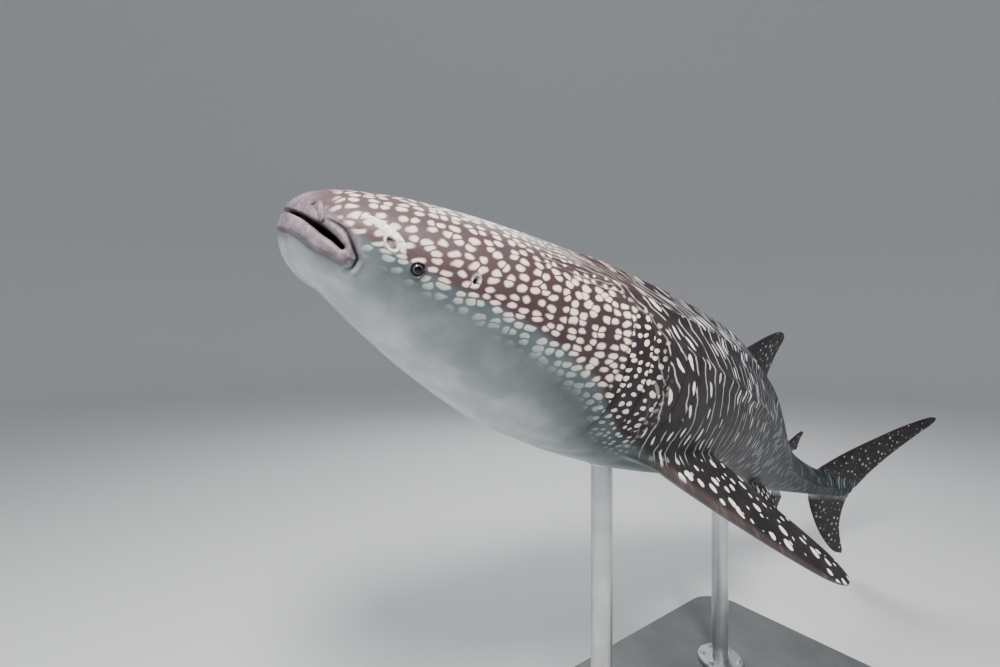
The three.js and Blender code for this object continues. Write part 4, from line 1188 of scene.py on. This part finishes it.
def turned(name, profile, turns, closed):
    """A smooth mesh, turned about the upright axis from points of radius and height."""
    n = len(profile)
    angles = [k * math.tau / turns for k in range(turns)]
    points = [(r * math.cos(x), r * math.sin(x), z) for x in angles for r, z in profile]
    faces = []
    for k in range(turns):
        near, far = k * n, (k + 1) % turns * n
        for m in range(n if closed else n - 1):
            after = (m + 1) % n
            faces.append((near + after, far + after, far + m, near + m))
    mesh = bpy.data.meshes.new(name)
    mesh.from_pydata(points, [], faces)
    mesh.polygons.foreach_set("use_smooth", np.ones(len(faces), bool))
    return mesh


for end, station_at in (("front", 0.245), ("rear", 0.475)):
    belly_at = skin_point(station_at, -90.0, 1)
    ring = turned("stand_collar_" + end, COLLAR, 56, True)
    low, high = (Vector(p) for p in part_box("stand_post_" + end))
    middle_at = ((low.x + high.x) / 2, (low.y + high.y) / 2, belly_at[2] - COLLAR_DROP)
    ring.transform(Matrix.Translation(middle_at))
    ring.set_sharp_from_angle(angle=math.radians(35))
    ring.materials.append(steel)
    collar = shown("stand_collar_" + end, ring)
    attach(collar, "root")

# The studio
# A pale floor turns up into a round backdrop without an edge. Soft lamps light the model from the front
# and above.
FLOOR_FLAT, FLOOR_BEND, FLOOR_TOP = 16, 6, 26
profile = [(0.02, 0.0), (4.0, 0.0), (9.0, 0.0), (14.0, 0.0)]
for x in np.radians(np.linspace(-90, 0, 19)):
    profile.append((FLOOR_FLAT + FLOOR_BEND * math.cos(x), FLOOR_BEND + FLOOR_BEND * math.sin(x)))
profile += [(FLOOR_FLAT + FLOOR_BEND, 14.0), (FLOOR_FLAT + FLOOR_BEND, FLOOR_TOP)]
floor = shown("studio_floor", turned("studio_floor", profile, 96, False))
floor_finish = bpy.data.materials.new("studio_floor")
tree, shader = surface(floor_finish)
shader.inputs["Base Color"].default_value = (0.62, 0.63, 0.64, 1)
shader.inputs["Roughness"].default_value = 0.85
floor.data.materials.append(floor_finish)

world = bpy.data.worlds.new("studio")
world.use_nodes = True
world.node_tree.nodes["Background"].inputs[0].default_value = (0.80, 0.84, 0.88, 1)
world.node_tree.nodes["Background"].inputs[1].default_value = 0.75
bpy.context.scene.world = world


def soft_light(name, at, aim, size, power, colour=(1, 1, 1)):
    lamp = bpy.data.lights.new(name, "AREA")
    lamp.shape, lamp.size, lamp.energy, lamp.color = "DISK", size, power, colour
    holder = shown(name, lamp)
    holder.location = at
    holder.rotation_euler = (Vector(aim) - Vector(at)).to_track_quat("-Z", "Y").to_euler()


soft_light("key", (-2.4, -2.6, 5.4), (-0.3, 0, 1.6), 1.6, 560, (1.0, 0.97, 0.93))
soft_light("fill", (-5.5, 1.5, 3.0), (-0.5, 0, 1.5), 3.0, 80, (0.93, 0.97, 1.0))
soft_light("back", (3.5, 4.5, 5.5), (0.5, 0, 1.5), 3.5, 260)

lens = bpy.data.cameras.new("camera")
lens.lens, lens.sensor_width = 16.893, 36.0
lens.clip_start = 0.05
camera = shown("camera", lens)
camera.location = (-1.949, -1.252, 1.84)
camera.rotation_euler = (math.radians(90), 0, math.radians(-35.51))
bpy.context.scene.camera = camera
